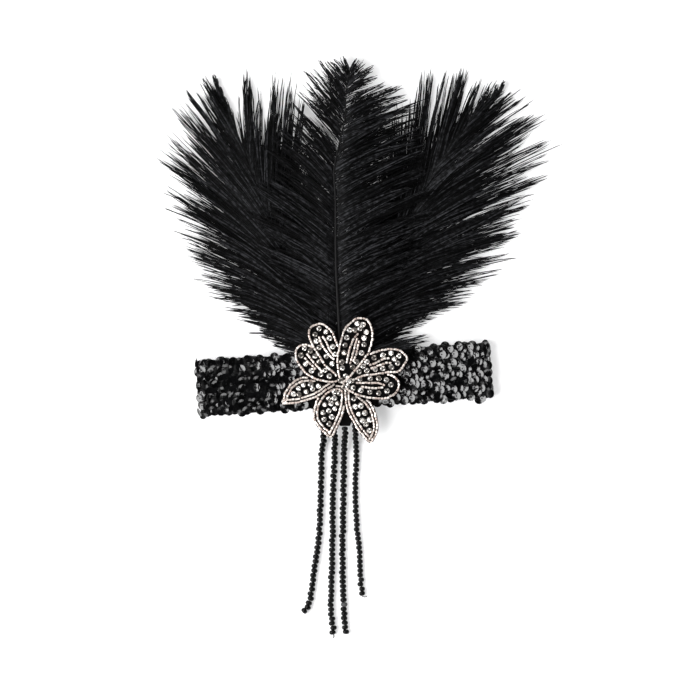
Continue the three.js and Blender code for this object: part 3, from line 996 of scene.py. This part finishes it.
@dataclass
class Flower:
    """The beadwork flower: felt petals edged with bugle beads and filled with cut stones.

    Attributes:
        felt_margin: How far the felt reaches beyond its edge line of beads.
        line_gap: How far apart the two edge lines of a pointed petal are.
        layer_step: How much lower each petal lies than the one before it.
        centre_stones: Where stones are sewn near the centre, in rows of x and y from it.
    """

    felt_wall: float = 1.1
    felt_margin: float = 1.0
    bugle_length: float = 2.05
    bugle_radius: float = 0.74
    line_gap: float = 2.2
    stone_radius: float = 2.0
    layer_step: float = 0.12
    centre_stones: tuple = ((0.8, -2.4), (3.9, 1.2), (-1.5, 2.2), (2, 5))
    seed: int = 9

    def floor_of(self, index: int) -> float:
        """The underside of a petal's felt, lower for those that lie under others."""
        lowest = UPPER_FELT if PETALS[index].form is Form.ROUND else LOWER_FELT
        return lowest + self.layer_step * (len(PETALS) - 1 - index)

    def felt(self, index: int) -> bpy.types.Object:
        """A petal's felt, with the edge a little beyond its beads."""
        petal = PETALS[index]
        edge = petal.edge(-self.felt_margin)
        shape = bmesh.new()
        bmesh.ops.create_circle(shape, cap_ends=True, segments=len(edge), radius=1)
        move_corners(shape, np.column_stack([edge, np.full(len(edge), self.floor_of(index))]))
        area = thicken(shape, self.felt_wall, 0.25)
        piece = object_from(petal.name + "_felt", shape)
        finish_piece(piece, FeltFinish().material(), [petal.name])
        area * MM * MM
        return piece

    def visible(self, index: int, spots: np.ndarray, margin: float) -> np.ndarray:
        """Which spots of a petal aren't covered by the petals that lie over it."""
        seen = np.ones(len(spots), bool)
        for upper in PETALS[:index]:
            seen &= ~inside(spots, upper.edge(-margin))
        return seen

    def bead_lines(self) -> bpy.types.Object:
        """The lines of bugle beads round and up the petals."""
        rng = np.random.default_rng(self.seed)
        origins, headings = [], []
        for index, petal in enumerate(PETALS):
            height = self.floor_of(index) + self.felt_wall + 0.8 * self.bugle_radius
            lines = [Route(petal.edge(0), closed=True)]
            if petal.form is Form.POINTED:
                lines.append(Route(petal.edge(self.line_gap), closed=True))
            lines += [Route(petal.plan(vein)) for vein in petal.veins]
            for line in lines:
                count = max(2, round(line.length / self.bugle_length))
                shares = (np.arange(count) + 0.5) / count
                spots = line.at(shares)
                ahead = line.heading(shares)
                seen = self.visible(index, spots, self.felt_margin + 0.3)
                spots, ahead = spots[seen], ahead[seen]
                origins.append(np.column_stack([spots, np.full(len(spots), height)]))
                headings.append(np.column_stack([ahead, np.zeros(len(spots))]))
        origins, headings = np.concatenate(origins), np.concatenate(headings)
        total = len(origins)
        origins += rng.normal(0, [0.12, 0.12, 0.06], (total, 3))
        headings += rng.normal(0, 0.09, (total, 3))
        frames = frames_along(headings)
        length = self.bugle_length * rng.uniform(0.86, 0.98, total)
        thick = self.bugle_radius * rng.uniform(0.92, 1.08, total)
        frames *= np.stack([thick, thick, length], axis=1)[:, :, None]
        shape = prism(8, 3, pointed=False)
        bmesh.ops.translate(shape, vec=(0, 0, -0.5), verts=shape.verts)
        for vert in shape.verts:
            if abs(vert.co.z) > 0.4:
                vert.co.xy *= 0.72
            else:
                vert.co.z *= 2.3
        piece = Swarm("bugle_beads", shape).set_down(origins, frames, rng.uniform(0, 1, total))
        return finish_piece(piece, ROSE_SILVER.material())

    def stones(self) -> bpy.types.Object:
        """The round cut stones, each tilted a little its own way."""
        rng = np.random.default_rng(self.seed + 1)
        origins = []
        for index, petal in enumerate(PETALS):
            spots = petal.plan(petal.stones)
            height = self.floor_of(index) + self.felt_wall + 0.55
            origins.append(np.column_stack([spots, np.full(len(spots), height)]))
        centre = FLOWER_CENTRE + np.array(self.centre_stones)
        top = self.floor_of(0) + self.felt_wall + 0.6
        origins.append(np.column_stack([centre, np.full(len(centre), top)]))
        origins = np.concatenate(origins)
        total = len(origins)
        normal = np.column_stack([rng.normal(0, 0.2, (total, 2)), np.ones(total)])
        turn = rng.uniform(0, 2 * math.pi, total)
        along = np.column_stack([np.cos(turn), np.sin(turn), np.zeros(total)])
        frames = frames_on(normal, along) * self.stone_radius
        frames *= rng.uniform(0.9, 1.06, total)[:, None, None]
        cut = [(0, -0.42), (0.94, -0.12), (1, 0.05), (0.82, 0.3), (0.5, 0.5), (0, 0.5)]
        piece = Swarm("cut_stones", lathe(cut, 10, closed=False), smooth=1).set_down(
            origins, frames, rng.uniform(0, 1, total) ** 1.2
        )
        return finish_piece(piece, PEWTER.material())

    def build(self) -> None:
        """Builds the petals, their beads and their stones."""
        for index in range(len(PETALS)):
            self.felt(index)
        self.bead_lines()
        self.stones()


@dataclass
class Backing:
    """The felt behind the flower, a round with a tab for one string."""

    wall: float = 1.4
    tab_width: float = 6.8
    tab_length: float = 3.1

    def build(self) -> bpy.types.Object:
        """Builds the felt."""
        shape = bmesh.new()
        bmesh.ops.create_circle(shape, cap_ends=True, segments=96, radius=BACKING_RADIUS)
        bottom = -BACKING_RADIUS - self.tab_length
        for vert in shape.verts:
            if vert.co.y < 0 and abs(vert.co.x + FLOWER_CENTRE[0]) < self.tab_width / 2 + 0.3:
                vert.co.y = bottom
        bmesh.ops.translate(shape, vec=(*FLOWER_CENTRE, BACKING_BOTTOM), verts=shape.verts)
        area = thicken(shape, self.wall, 0.3)
        piece = object_from("backing_felt", shape)
        finish_piece(piece, FeltFinish("backing_felt").material(), ["felt_backing"])
        return (piece, area * MM * MM)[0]


# ---------------------------------------------------------------- bead strings


@dataclass
class BeadString:
    """A string of black beads that starts at the backing's rim and lies on the table.

    Attributes:
        node: The CAD node that it stands for.
        route: Where it runs, in rows of x and y.
        beads: How many beads it has.
        tail: Where the thread's end lies past the last bead, in rows of x and y.
        worn: Which bead has lost its dye, if one has.
        swell: How much wider across the string than its height a bead is.
        drop: How far past the rim, along Y, the string has come down to the table.
    """

    node: str
    route: tuple
    beads: int
    tail: tuple = ()
    worn: int = -1
    bead_radius: float = 2.1
    swell: float = 1.14
    drop: float = 22.0
    thread_radius: float = 0.32
    seed: int = 30

    def line(self) -> Route:
        """The thread's line, from the rim down to the table and along it."""
        plan = Route(self.route)
        spots = plan.at(np.linspace(0, 1, 60))
        share = np.clip((spots[0, 1] - spots[:, 1]) / self.drop, 0, 1)
        sewn = BACKING_BOTTOM + 1.5 - self.bead_radius
        fall = (1 - np.cos(math.pi * share)) / 2
        return Route(np.column_stack([spots, sewn + (self.bead_radius - sewn) * fall]))

    def build(self) -> bpy.types.Object:
        """Builds the beads and the thread between them."""
        rng = np.random.default_rng(self.seed)
        line = self.line()
        shares = (np.arange(self.beads) + 0.5) / self.beads
        ahead = line.heading(shares) + rng.normal(0, 0.09, (self.beads, 3))
        aside = np.where(np.arange(self.beads) % 2, 0.18, -0.18) + rng.normal(0, 0.14, self.beads)
        origins = line.at(shares)
        origins[:, 0] += aside
        frames = frames_along(ahead)
        pitch = line.length / self.beads
        size = self.bead_radius * rng.uniform(0.94, 1.0, self.beads)
        wide = size * self.swell
        frames *= np.stack([wide, size, np.full(self.beads, pitch * 0.72)], axis=1)[:, :, None]
        half = [(0.2, 0.7), (0.6, 0.65), (0.88, 0.41)]
        ball = [(radius, -height) for radius, height in half] + [(1, 0)] + half[::-1]
        tones = rng.uniform(0, 0.8, self.beads)
        if self.worn >= 0:
            tones[self.worn] = 1
        swarm = Swarm(self.node + "_beads", lathe(ball, 14), smooth=50)
        piece = swarm.set_down(origins, frames, tones)
        finish_piece(piece, GlassBeadFinish().material(), [self.node])
        self.thread(line)
        return piece

    def thread(self, line: Route) -> bpy.types.Object:
        """Builds the thread that the beads are strung on."""
        tail = [(x, y, 0.6) for x, y in self.tail]
        line = Route([*line.at(np.linspace(0, 1, 30)), *tail])
        radius = self.thread_radius
        thread = bar_along(self.node + "_thread", line, 6, 90, radius, radius)
        return finish_piece(thread, FeltFinish("thread").material())


STRINGS = (
    BeadString(
        "bead_string_1",
        ((-14.3, -26), (-14.6, -40.8), (-16, -52.7), (-16.3, -67.7), (-17, -87.5), (-17.5, -102.4),
         (-19, -117.4), (-21.5, -132.3), (-23, -145.2), (-24.9, -154.6), (-28.8, -159.4)),
        43, seed=31,
    ),
    BeadString(
        "bead_string_2",
        ((-7.2, -28.6), (-7.1, -39), (-7.1, -52.7), (-8.3, -77.5), (-8.6, -102.4), (-8.8, -122.3),
         (-9.4, -142.1), (-9.6, -157.1), (-7.8, -174.6)),
        47, tail=((-7.6, -176), (-8.2, -177)), seed=32,
    ),
    BeadString(
        "bead_string_3",
        ((0.2, -32.3), (-0.6, -47.6), (-1, -72.6), (-1.4, -97.4), (-1.6, -117.4), (-1.6, -137.2),
         (-0.8, -157.1), (0.4, -174.2)),
        46, worn=39, seed=33,
    ),
    BeadString(
        "bead_string_4",
        ((6.9, -27.7), (7.1, -39), (7.8, -52.7), (7.1, -67.7), (7.3, -87.5), (8.2, -102.4),
         (9.8, -117.4), (10.3, -132.3), (11.1, -141.5), (11.6, -148)),
        39, tail=((13.4, -149), (15.2, -148.2)), bead_radius=1.95, seed=34,
    ),
)


# ---------------------------------------------------------------- plumes


@dataclass(frozen=True)
class StrandKind:
    """A kind of strand: a few barbs that cling together.

    Attributes:
        spread: How far its tip strays from its tuft's, as a share of how far its root does.
        turn: How far its direction varies, in radians.
        bundle: How many barbs it has, as a share of the plume's usual number.
        full: The share of them that reach its tip.
    """

    spread: float
    turn: float
    bundle: float
    full: float

    def cuts(self, rng: np.random.Generator, count: int) -> np.ndarray:
        """Where each of its barbs ends, as a share of the way to its tip."""
        whole = rng.uniform(0, 1, count) < self.full
        return np.where(whole, rng.uniform(0.9, 1, count), rng.uniform(0.55, 0.95, count))


SPIKE = StrandKind(spread=0.5, turn=0.02, bundle=0.85, full=0.6)
FILL = StrandKind(spread=1.4, turn=0.07, bundle=1.3, full=0.2)


@dataclass(frozen=True)
class Side:
    """The barbs of one side of a plume.

    Attributes:
        rows: Where on the shaft they leave it, the x and y of their tips, and how far their path
            bows, as a share of their length.
        gaps: The stretches of the shaft that carry none, in rows of from and to.
        body: How far the dense part reaches, as a share of the barbs' length.
    """

    rows: tuple
    gaps: tuple = ()
    body: float = 0.84


@dataclass
class Plume:
    """An ostrich plume: a shaft with long soft barbs that gather in pointed tufts.

    Attributes:
        node: The CAD node that it stands for.
        shaft: The shaft's line, in rows of x, y and z.
        left: The barbs of its left side.
        right: The barbs of its right side.
        low: The height of the lowest barb tips.
        high: The height of the highest.
        root_lift: How far above the shaft's line the barbs start.
        cross: How far across the shaft they start, on the side away from their tips.
        tuft_gap: The distance between tufts along the line of their tips.
        tuft_spread: How wide a tuft's roots are, as a share of that.
        spikes: The strands of a tuft that reach its point.
        fills: The strands of a tuft that fill the body of the plume.
        bundle: The usual number of barbs in a strand.
        spike_reach: How far a spike goes, as a share of the table's, where it loses nothing.
        tuft_loss: The most of that share that a whole tuft falls short.
        spike_loss: The most that a single spike falls short.
        long_barb: The length from which on barbs fall short by no more than one that long.
        wisps: The share of spikes that are thin wisps.
        wisp_reach: How much further those go.
        tip_fill: The share of fills that is left at the plume's tip.
        barb_width: The usual width of a barb.
        arch: How far the barbs arch upwards.
        wave: How far a strand waves to the side.
        looseness: How much the waves of its barbs differ.
        table_gap: The least height of a barb over the table.
        band_gap: The same over the band.
        band_reach: How far from the band's centre line they come down to the table.
        band_slope: The length over which they do.
        shaft_root: The shaft's radius at its root.
        shaft_tip: The same at its tip.
    """

    node: str
    shaft: tuple
    left: Side
    right: Side
    low: float
    high: float
    root_lift: float = 1.1
    cross: float = 0.8
    tuft_gap: float = 7.0
    tuft_spread: float = 0.42
    spikes: int = 5
    fills: int = 6
    bundle: float = 4.8
    spike_reach: float = 1.04
    tuft_loss: float = 0.16
    spike_loss: float = 0.27
    long_barb: float = 85.0
    wisps: float = 0.16
    wisp_reach: float = 1.06
    tip_fill: float = 1.0
    barb_width: float = 0.92
    arch: float = 0.8
    wave: float = 0.9
    looseness: float = 0.14
    table_gap: float = 0.15
    band_gap: float = 0.9
    band_reach: float = 32.0
    band_slope: float = 12.0
    shaft_root: float = 1.2
    shaft_tip: float = 0.3
    seed: int = 50

    def shaft_piece(self) -> bpy.types.Object:
        """The shaft, round and thinner towards its tip."""
        line = Route(self.shaft)
        piece = bar_along(self.node + "_shaft", line, 8, 60, self.shaft_root, self.shaft_tip)
        return finish_piece(piece, ShaftFinish().material())

    def strand(
        self, rng: np.random.Generator, kind: StrandKind, line: Route, own: float,
        goal: np.ndarray, bow: float, count: int,
    ) -> tuple[np.ndarray, ...]:
        """Draws up one strand: a few barbs that lie together and end near one point.

        Args:
            rng: The source of its variation.
            kind: Its kind.
            line: The shaft's line.
            own: Where on the shaft it starts.
            goal: The x and y of its tip.
            bow: How far it bends aside, as a share of its length.
            count: How many barbs it has.

        Returns:
            The barbs' roots, bends and tips, and the size, turns and phase of their waves.
        """
        seat = line.at(np.array([own]))[0]
        reach = goal - seat[:2]
        turned = np.array([-reach[1], reach[0]])
        size = np.linalg.norm(reach)
        spread = rng.uniform(-1, 1, count) * (2.5 + 0.03 * size) / line.length
        root = line.at(np.clip(own + spread, 0.02, 1))
        cut = kind.cuts(rng, count)
        slip = rng.normal(0, 0.1 + 0.001 * size, (count, 2))
        slip += (rng.normal(0, 0.1, count) * (1 - cut))[:, None] * turned
        tip = seat[:2] + reach * cut[:, None] + slip
        middle = (root[:, :2] * 0.65 + seat[:2] * 0.35 + tip) / 2
        bend = middle - turned * (bow + rng.normal(0, 0.02, count))[:, None]
        depth = rng.uniform(self.low, self.high)
        tip_z = depth * (0.4 + 0.6 * cut) + rng.normal(0, 0.35, count)
        bend_z = (root[:, 2] + tip_z) / 2 + self.arch
        root = root + np.append(-reach / size * self.cross, self.root_lift)
        wave = np.array([rng.normal(0, self.wave), rng.uniform(3, 8), rng.uniform(0, 6.28)])
        waves = wave + rng.normal(0, self.looseness, (count, 3))
        return root, np.column_stack([bend, bend_z]), np.column_stack([tip, tip_z]), waves

    def strands_of(self, rng: np.random.Generator, side: Side) -> list:
        """Draws up the strands of one side, spaced evenly along the line of their tips.

        Args:
            rng: The source of its variation.
            side: The side.

        Returns:
            What strand gives for each.
        """
        line = Route(self.shaft)
        at, tip_x, tip_y, bow = np.asarray(side.rows, float).T
        steps = np.hypot(np.diff(tip_x), np.diff(tip_y)) + 0.3 * line.length * np.diff(at)
        marks = np.concatenate([[0.0], np.cumsum(steps)])
        tufts = round(marks[-1] / self.tuft_gap)
        made = []
        for place in (np.arange(tufts) + rng.uniform(0.1, 0.9, tufts)) * marks[-1] / tufts:
            stint = rng.uniform(0, 1) ** 1.3
            swing = rng.normal(0, 0.03)
            for kind in [SPIKE] * self.spikes + [FILL] * self.fills:
                stray = rng.normal(0, self.tuft_spread * self.tuft_gap)
                mark = np.clip(place + stray, 0, marks[-1])
                aim = np.clip(place + stray * kind.spread, 0, marks[-1])
                own = np.interp(mark, marks, at)
                if any(low < own < high for low, high in side.gaps):
                    continue
                fill = 1 + (self.tip_fill - 1) * np.clip((own - 0.72) / 0.2, 0, 1)
                if kind is FILL and rng.uniform() > fill:
                    continue
                seat = line.at(np.array([own]))[0][:2]
                end = np.array([np.interp(aim, marks, tip_x), np.interp(aim, marks, tip_y)])
                reach = end - seat
                loss = self.tuft_loss * stint + self.spike_loss * rng.uniform(0, 1) ** 2
                loss *= min(1, self.long_barb / np.linalg.norm(reach))
                share = self.spike_reach - loss
                if kind is FILL:
                    share = side.body * rng.uniform(0.6, 1)
                turn = swing + rng.normal(0, kind.turn)
                goal = seat + reach * share + np.array([-reach[1], reach[0]]) * turn * share
                curve = np.interp(mark, marks, bow) + rng.normal(0, 0.02)
                count = max(2, round(self.bundle * rng.uniform(0.5, 1.5) * kind.bundle))
                if kind is SPIKE and rng.uniform() < self.wisps:
                    goal, count = seat + (goal - seat) * self.wisp_reach, 2
                made.append(self.strand(rng, kind, line, own, goal, curve, count))
        return made

    def barb_piece(self) -> bpy.types.Object:
        """All the barbs, each a thin closed strip that tapers along a curve."""
        rng = np.random.default_rng(self.seed)
        strands = self.strands_of(rng, self.left) + self.strands_of(rng, self.right)
        root, bend, tip, waves = (np.concatenate(part) for part in zip(*strands, strict=True))
        swarm = Swarm(self.node + "_barbs", prism(3, 7, pointed=True), smooth=180)
        total, t = len(root), 1 - (1 - swarm.points[:, 2][None, :, None]) ** 1.6
        a, b, c = root[:, None], bend[:, None], tip[:, None]
        path = a * (1 - t) ** 2 + 2 * b * t * (1 - t) + c * t**2
        run = (b - a) * (1 - t) + (c - b) * t
        side = np.stack([run[..., 1], -run[..., 0], 0 * run[..., 0]], axis=-1)
        side /= np.linalg.norm(side, axis=-1, keepdims=True) + 1e-9
        t = t[..., 0]
        wave = waves[:, :1] * np.sin(waves[:, 1:2] * t + waves[:, 2:]) * t**1.5
        span = np.linalg.norm(tip - root, axis=1)[:, None]
        width = 0.5 * self.barb_width * rng.uniform(0.7, 1.25, (total, 1))
        width = width * np.clip(span / 55, 0.6, 1)
        width = width * (1 - 0.45 * t**2) * (0.5 + 0.5 * np.minimum(1, t * 4))
        x, y = swarm.points[:, 0], swarm.points[:, 1]
        places = path + side * (x * width + wave)[..., None]
        places[..., 2] += y * width * 0.8
        above = places[..., 1] * math.cos(BAND_TILT) - places[..., 0] * math.sin(BAND_TILT)
        beside = np.clip((self.band_reach - above) / self.band_slope, 0, 1)
        floor = self.table_gap + (BAND_TOP + self.band_gap) * beside
        places[..., 2] = np.maximum(places[..., 2], floor + y * 0.1)
        piece = swarm.grow(places, rng.uniform(0, 1, total))
        return finish_piece(piece, BarbFinish().material(), [self.node])

    def build(self) -> None:
        """Builds the shaft and the barbs."""
        self.shaft_piece()
        self.barb_piece()


PLUMES = (
    Plume(
        "plume_left",
        ((-8.3, 2.6, 13.4), (-11.8, 25.1, 13.4), (-20.9, 43.6, 7.8), (-34, 68.7, 4),
         (-47.5, 97.9, 3.2), (-61.3, 135.4, 3.1), (-71.5, 162.4, 2.8), (-80.9, 185.1, 2.3),
         (-87.6, 201.7, 1.6)),
        Side(
            ((0, -40, 17, 0.08), (0.01, -50, 22, 0.1), (0.02, -60, 30, 0.12),
             (0.04, -70, 39, 0.12), (0.07, -83, 50, 0.12), (0.1, -99, 67, 0.12),
             (0.14, -111, 84, 0.11), (0.2, -116, 103, 0.1), (0.27, -124, 123, 0.08),
             (0.32, -127, 140, 0.07), (0.37, -128, 157, 0.06), (0.42, -125, 171, 0.05),
             (0.48, -119, 184, 0.04), (0.56, -113, 195, 0.03), (0.66, -105, 203, 0.02),
             (0.8, -97, 208, 0.01), (1, -88, 208, 0)),
            gaps=((0.22, 0.245),),
        ),
        Side(
            ((0.08, -2, 90, -0.03), (0.18, -12, 130, -0.04), (0.27, -22, 158, -0.04),
             (0.34, -29, 182, -0.04), (0.4, -33, 200, -0.04), (0.46, -40, 208, -0.03),
             (0.52, -48, 212, -0.03), (0.58, -60, 212, -0.03), (0.65, -70, 209, -0.02),
             (0.73, -73, 204, -0.02), (0.8, -78, 186, 0), (0.9, -84, 196, 0), (1, -88, 206, 0)),
            gaps=((0.74, 0.83),), body=0.74,
        ),
        0.8, 6.0, seed=51,
    ),
    Plume(
        "plume_right",
        ((2.6, 2.6, 13.4), (4.8, 25.1, 13.4), (13.1, 43.6, 7.8), (26.6, 75.2, 3.8),
         (45.6, 111.4, 3.2), (61.3, 142.1, 3.1), (81.5, 170.9, 2.7), (95.3, 183.1, 2.3),
         (107, 197.3, 1.6)),
        Side(
            ((0.06, 8, 74, 0.03), (0.18, 15, 116, 0.03), (0.27, 25, 152, 0.03),
             (0.34, 39, 187, 0.04), (0.39, 49, 206, 0.04), (0.44, 54, 213, 0.04),
             (0.49, 61, 216, 0.03), (0.56, 70, 214, 0.03), (0.62, 78, 213, 0.02),
             (0.69, 86, 212, 0.02), (0.77, 93, 209, 0.02), (0.85, 99, 206, 0.01),
             (0.93, 103, 203, 0), (1, 106, 202, 0)),
            gaps=((0.5, 0.54),), body=0.76,
        ),
        Side(
            ((0, 42, 20, -0.08), (0.01, 56, 24, -0.1), (0.03, 63, 30, -0.1), (0.05, 63, 40, -0.1),
             (0.08, 70, 48, -0.1), (0.12, 84, 57, -0.1), (0.16, 97, 66, -0.1),
             (0.2, 107, 79, -0.09), (0.25, 120, 96, -0.08), (0.3, 128, 108, -0.07),
             (0.34, 135, 122, -0.07), (0.38, 141, 136, -0.06), (0.42, 143, 151, -0.06),
             (0.47, 141, 165, -0.06), (0.54, 136, 179, -0.05), (0.62, 129, 188, -0.04),
             (0.72, 121, 197, -0.03), (0.85, 114, 202, -0.02), (1, 108, 204, 0)),
            gaps=((0.355, 0.38),),
        ),
        0.8, 6.0, seed=52,
    ),
    Plume(
        "plume_centre",
        ((-3.1, 2.6, 13.4), (-3.9, 32.7, 13.4), (-6.1, 77.6, 13.1), (-6.5, 121.6, 12.6),
         (-7.4, 142.1, 12.1), (-4.1, 159.1, 11.5), (0, 177.7, 10.5), (0.9, 196.2, 8.8),
         (3.9, 212.6, 6.7)),
        Side(
            ((0.01, -18, 26, 0.02), (0.07, -30, 40, 0.03), (0.14, -46, 58, 0.04),
             (0.23, -58, 82, 0.05), (0.34, -66, 110, 0.05), (0.43, -66, 134, 0.05),
             (0.52, -60, 154, 0.05), (0.59, -52, 169, 0.05), (0.65, -44, 180, 0.05),
             (0.72, -38, 190, 0.05), (0.77, -36, 202, 0.06), (0.8, -33, 209, 0.06),
             (0.86, -26, 214, 0.05), (0.92, -16, 218, 0.04), (1, 2, 221, 0)),
            gaps=((0.732, 0.758),),
        ),
        Side(
            ((0.01, 14, 24, -0.02), (0.07, 28, 38, -0.03), (0.14, 44, 57, -0.04),
             (0.23, 57, 80, -0.05), (0.34, 66, 106, -0.05), (0.43, 68, 128, -0.05),
             (0.52, 67, 147, -0.05), (0.59, 66, 162, -0.05), (0.65, 65, 173, -0.05),
             (0.7, 61, 182, -0.06), (0.75, 54, 189, -0.06), (0.8, 46, 195, -0.06),
             (0.84, 39, 200, -0.06), (0.88, 32, 205, -0.05), (0.92, 26, 211, -0.05),
             (0.96, 17, 216, -0.03), (1, 7, 221, 0)),
        ),
        5.0, 11.0, root_lift=-0.2, cross=-0.4, tip_fill=0.4, seed=53,
    ),
)


# ---------------------------------------------------------------- studio


@dataclass
class Studio:
    """The table, the lights and the camera straight above, in metres.

    Attributes:
        centre: What the camera looks at, as x and y.
        frame_width: The width of what it sees at the subject's height.
        distance: Its height above the table.
        horizon: The backdrop's brightness at eye level.
        zenith: The same from dark_above upwards.
        dark_above: That height, as the upward part of a direction of length one.
        aim: Where the lights point.
    """

    centre: tuple = (0.0034, 0.0197)
    frame_width: float = 0.4762
    distance: float = 2.4
    subject_height: float = 0.01
    horizon: float = 0.8
    zenith: float = 0.02
    dark_above: float = 0.55
    aim: tuple = (0, 0.02, 0)

    def table(self) -> bpy.types.Object:
        """The table top, which isn't part of the headband."""
        shape = bmesh.new()
        bmesh.ops.create_grid(shape, x_segments=2, y_segments=2, size=3000)
        top = object_from("table_top", shape)
        top.data.materials.append(TableFinish().material())
        return top

    def camera(self) -> bpy.types.Object:
        """A long lens that looks straight down."""
        data = bpy.data.cameras.new("camera")
        data.sensor_width = 36.0
        data.lens = data.sensor_width * (self.distance - self.subject_height) / self.frame_width
        data.clip_end = 20
        made = bpy.data.objects.new("camera", data)
        bpy.context.scene.collection.objects.link(made)
        made.location = (*self.centre, self.distance)
        bpy.context.scene.camera = made
        return made

    def lamp(self, name: str, place: tuple, size: float, power: float) -> None:
        """Adds a soft square light.

        Args:
            name: The light's name.
            place: Where it hangs.
            size: The length of its sides.
            power: Its power in watts.
        """
        data = bpy.data.lights.new(name, "AREA")
        data.shape, data.size, data.energy = "SQUARE", size, power
        made = bpy.data.objects.new(name, data)
        bpy.context.scene.collection.objects.link(made)
        turn = (Vector(place) - Vector(self.aim)).to_track_quat("Z", "Y")
        made.matrix_world = Matrix.Translation(place) @ turn.to_matrix().to_4x4()

    def build(self) -> None:
        """Sets up the table, the camera, the lights and the backdrop."""
        self.table()
        self.camera()
        self.lamp("key_light", (-0.78, -0.2, 0.8), 0.95, 24.0)
        self.lamp("fill_light", (0.15, 1.3, 1.1), 1.3, 15.0)
        self.lamp("low_light", (0.7, -1.2, 0.52), 1.0, 12.0)
        bpy.context.scene.view_settings.view_transform = "Standard"
        self.backdrop()

    def backdrop(self) -> None:
        """Lights the scene from low down all round, so that it is bright near the horizon."""
        world = bpy.data.worlds.new("studio")
        world.use_nodes = True
        nodes, links = world.node_tree.nodes, world.node_tree.links
        height = nodes.new("ShaderNodeSeparateXYZ")
        links.new(nodes.new("ShaderNodeTexCoord").outputs["Generated"], height.inputs[0])
        falling = nodes.new("ShaderNodeMapRange")
        links.new(height.outputs["Z"], falling.inputs["Value"])
        falling.inputs["From Max"].default_value = self.dark_above
        falling.inputs["To Min"].default_value = self.horizon
        falling.inputs["To Max"].default_value = self.zenith
        light = nodes["Background"]
        light.inputs["Color"].default_value = (1, 1, 1, 1)
        links.new(falling.outputs["Result"], light.inputs["Strength"])
        bpy.context.scene.world = world


def main() -> None:
    """Builds the studio and every part of the headband."""
    logging.basicConfig(level=logging.INFO, format="%(name)s: %(message)s")
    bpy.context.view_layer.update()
    Studio().build()
    SequinBand().build()
    Backing().build()
    for plume in PLUMES:
        plume.build()
    Flower().build()
    for string in STRINGS:
        string.build()


if __name__ == "__main__":
    main()
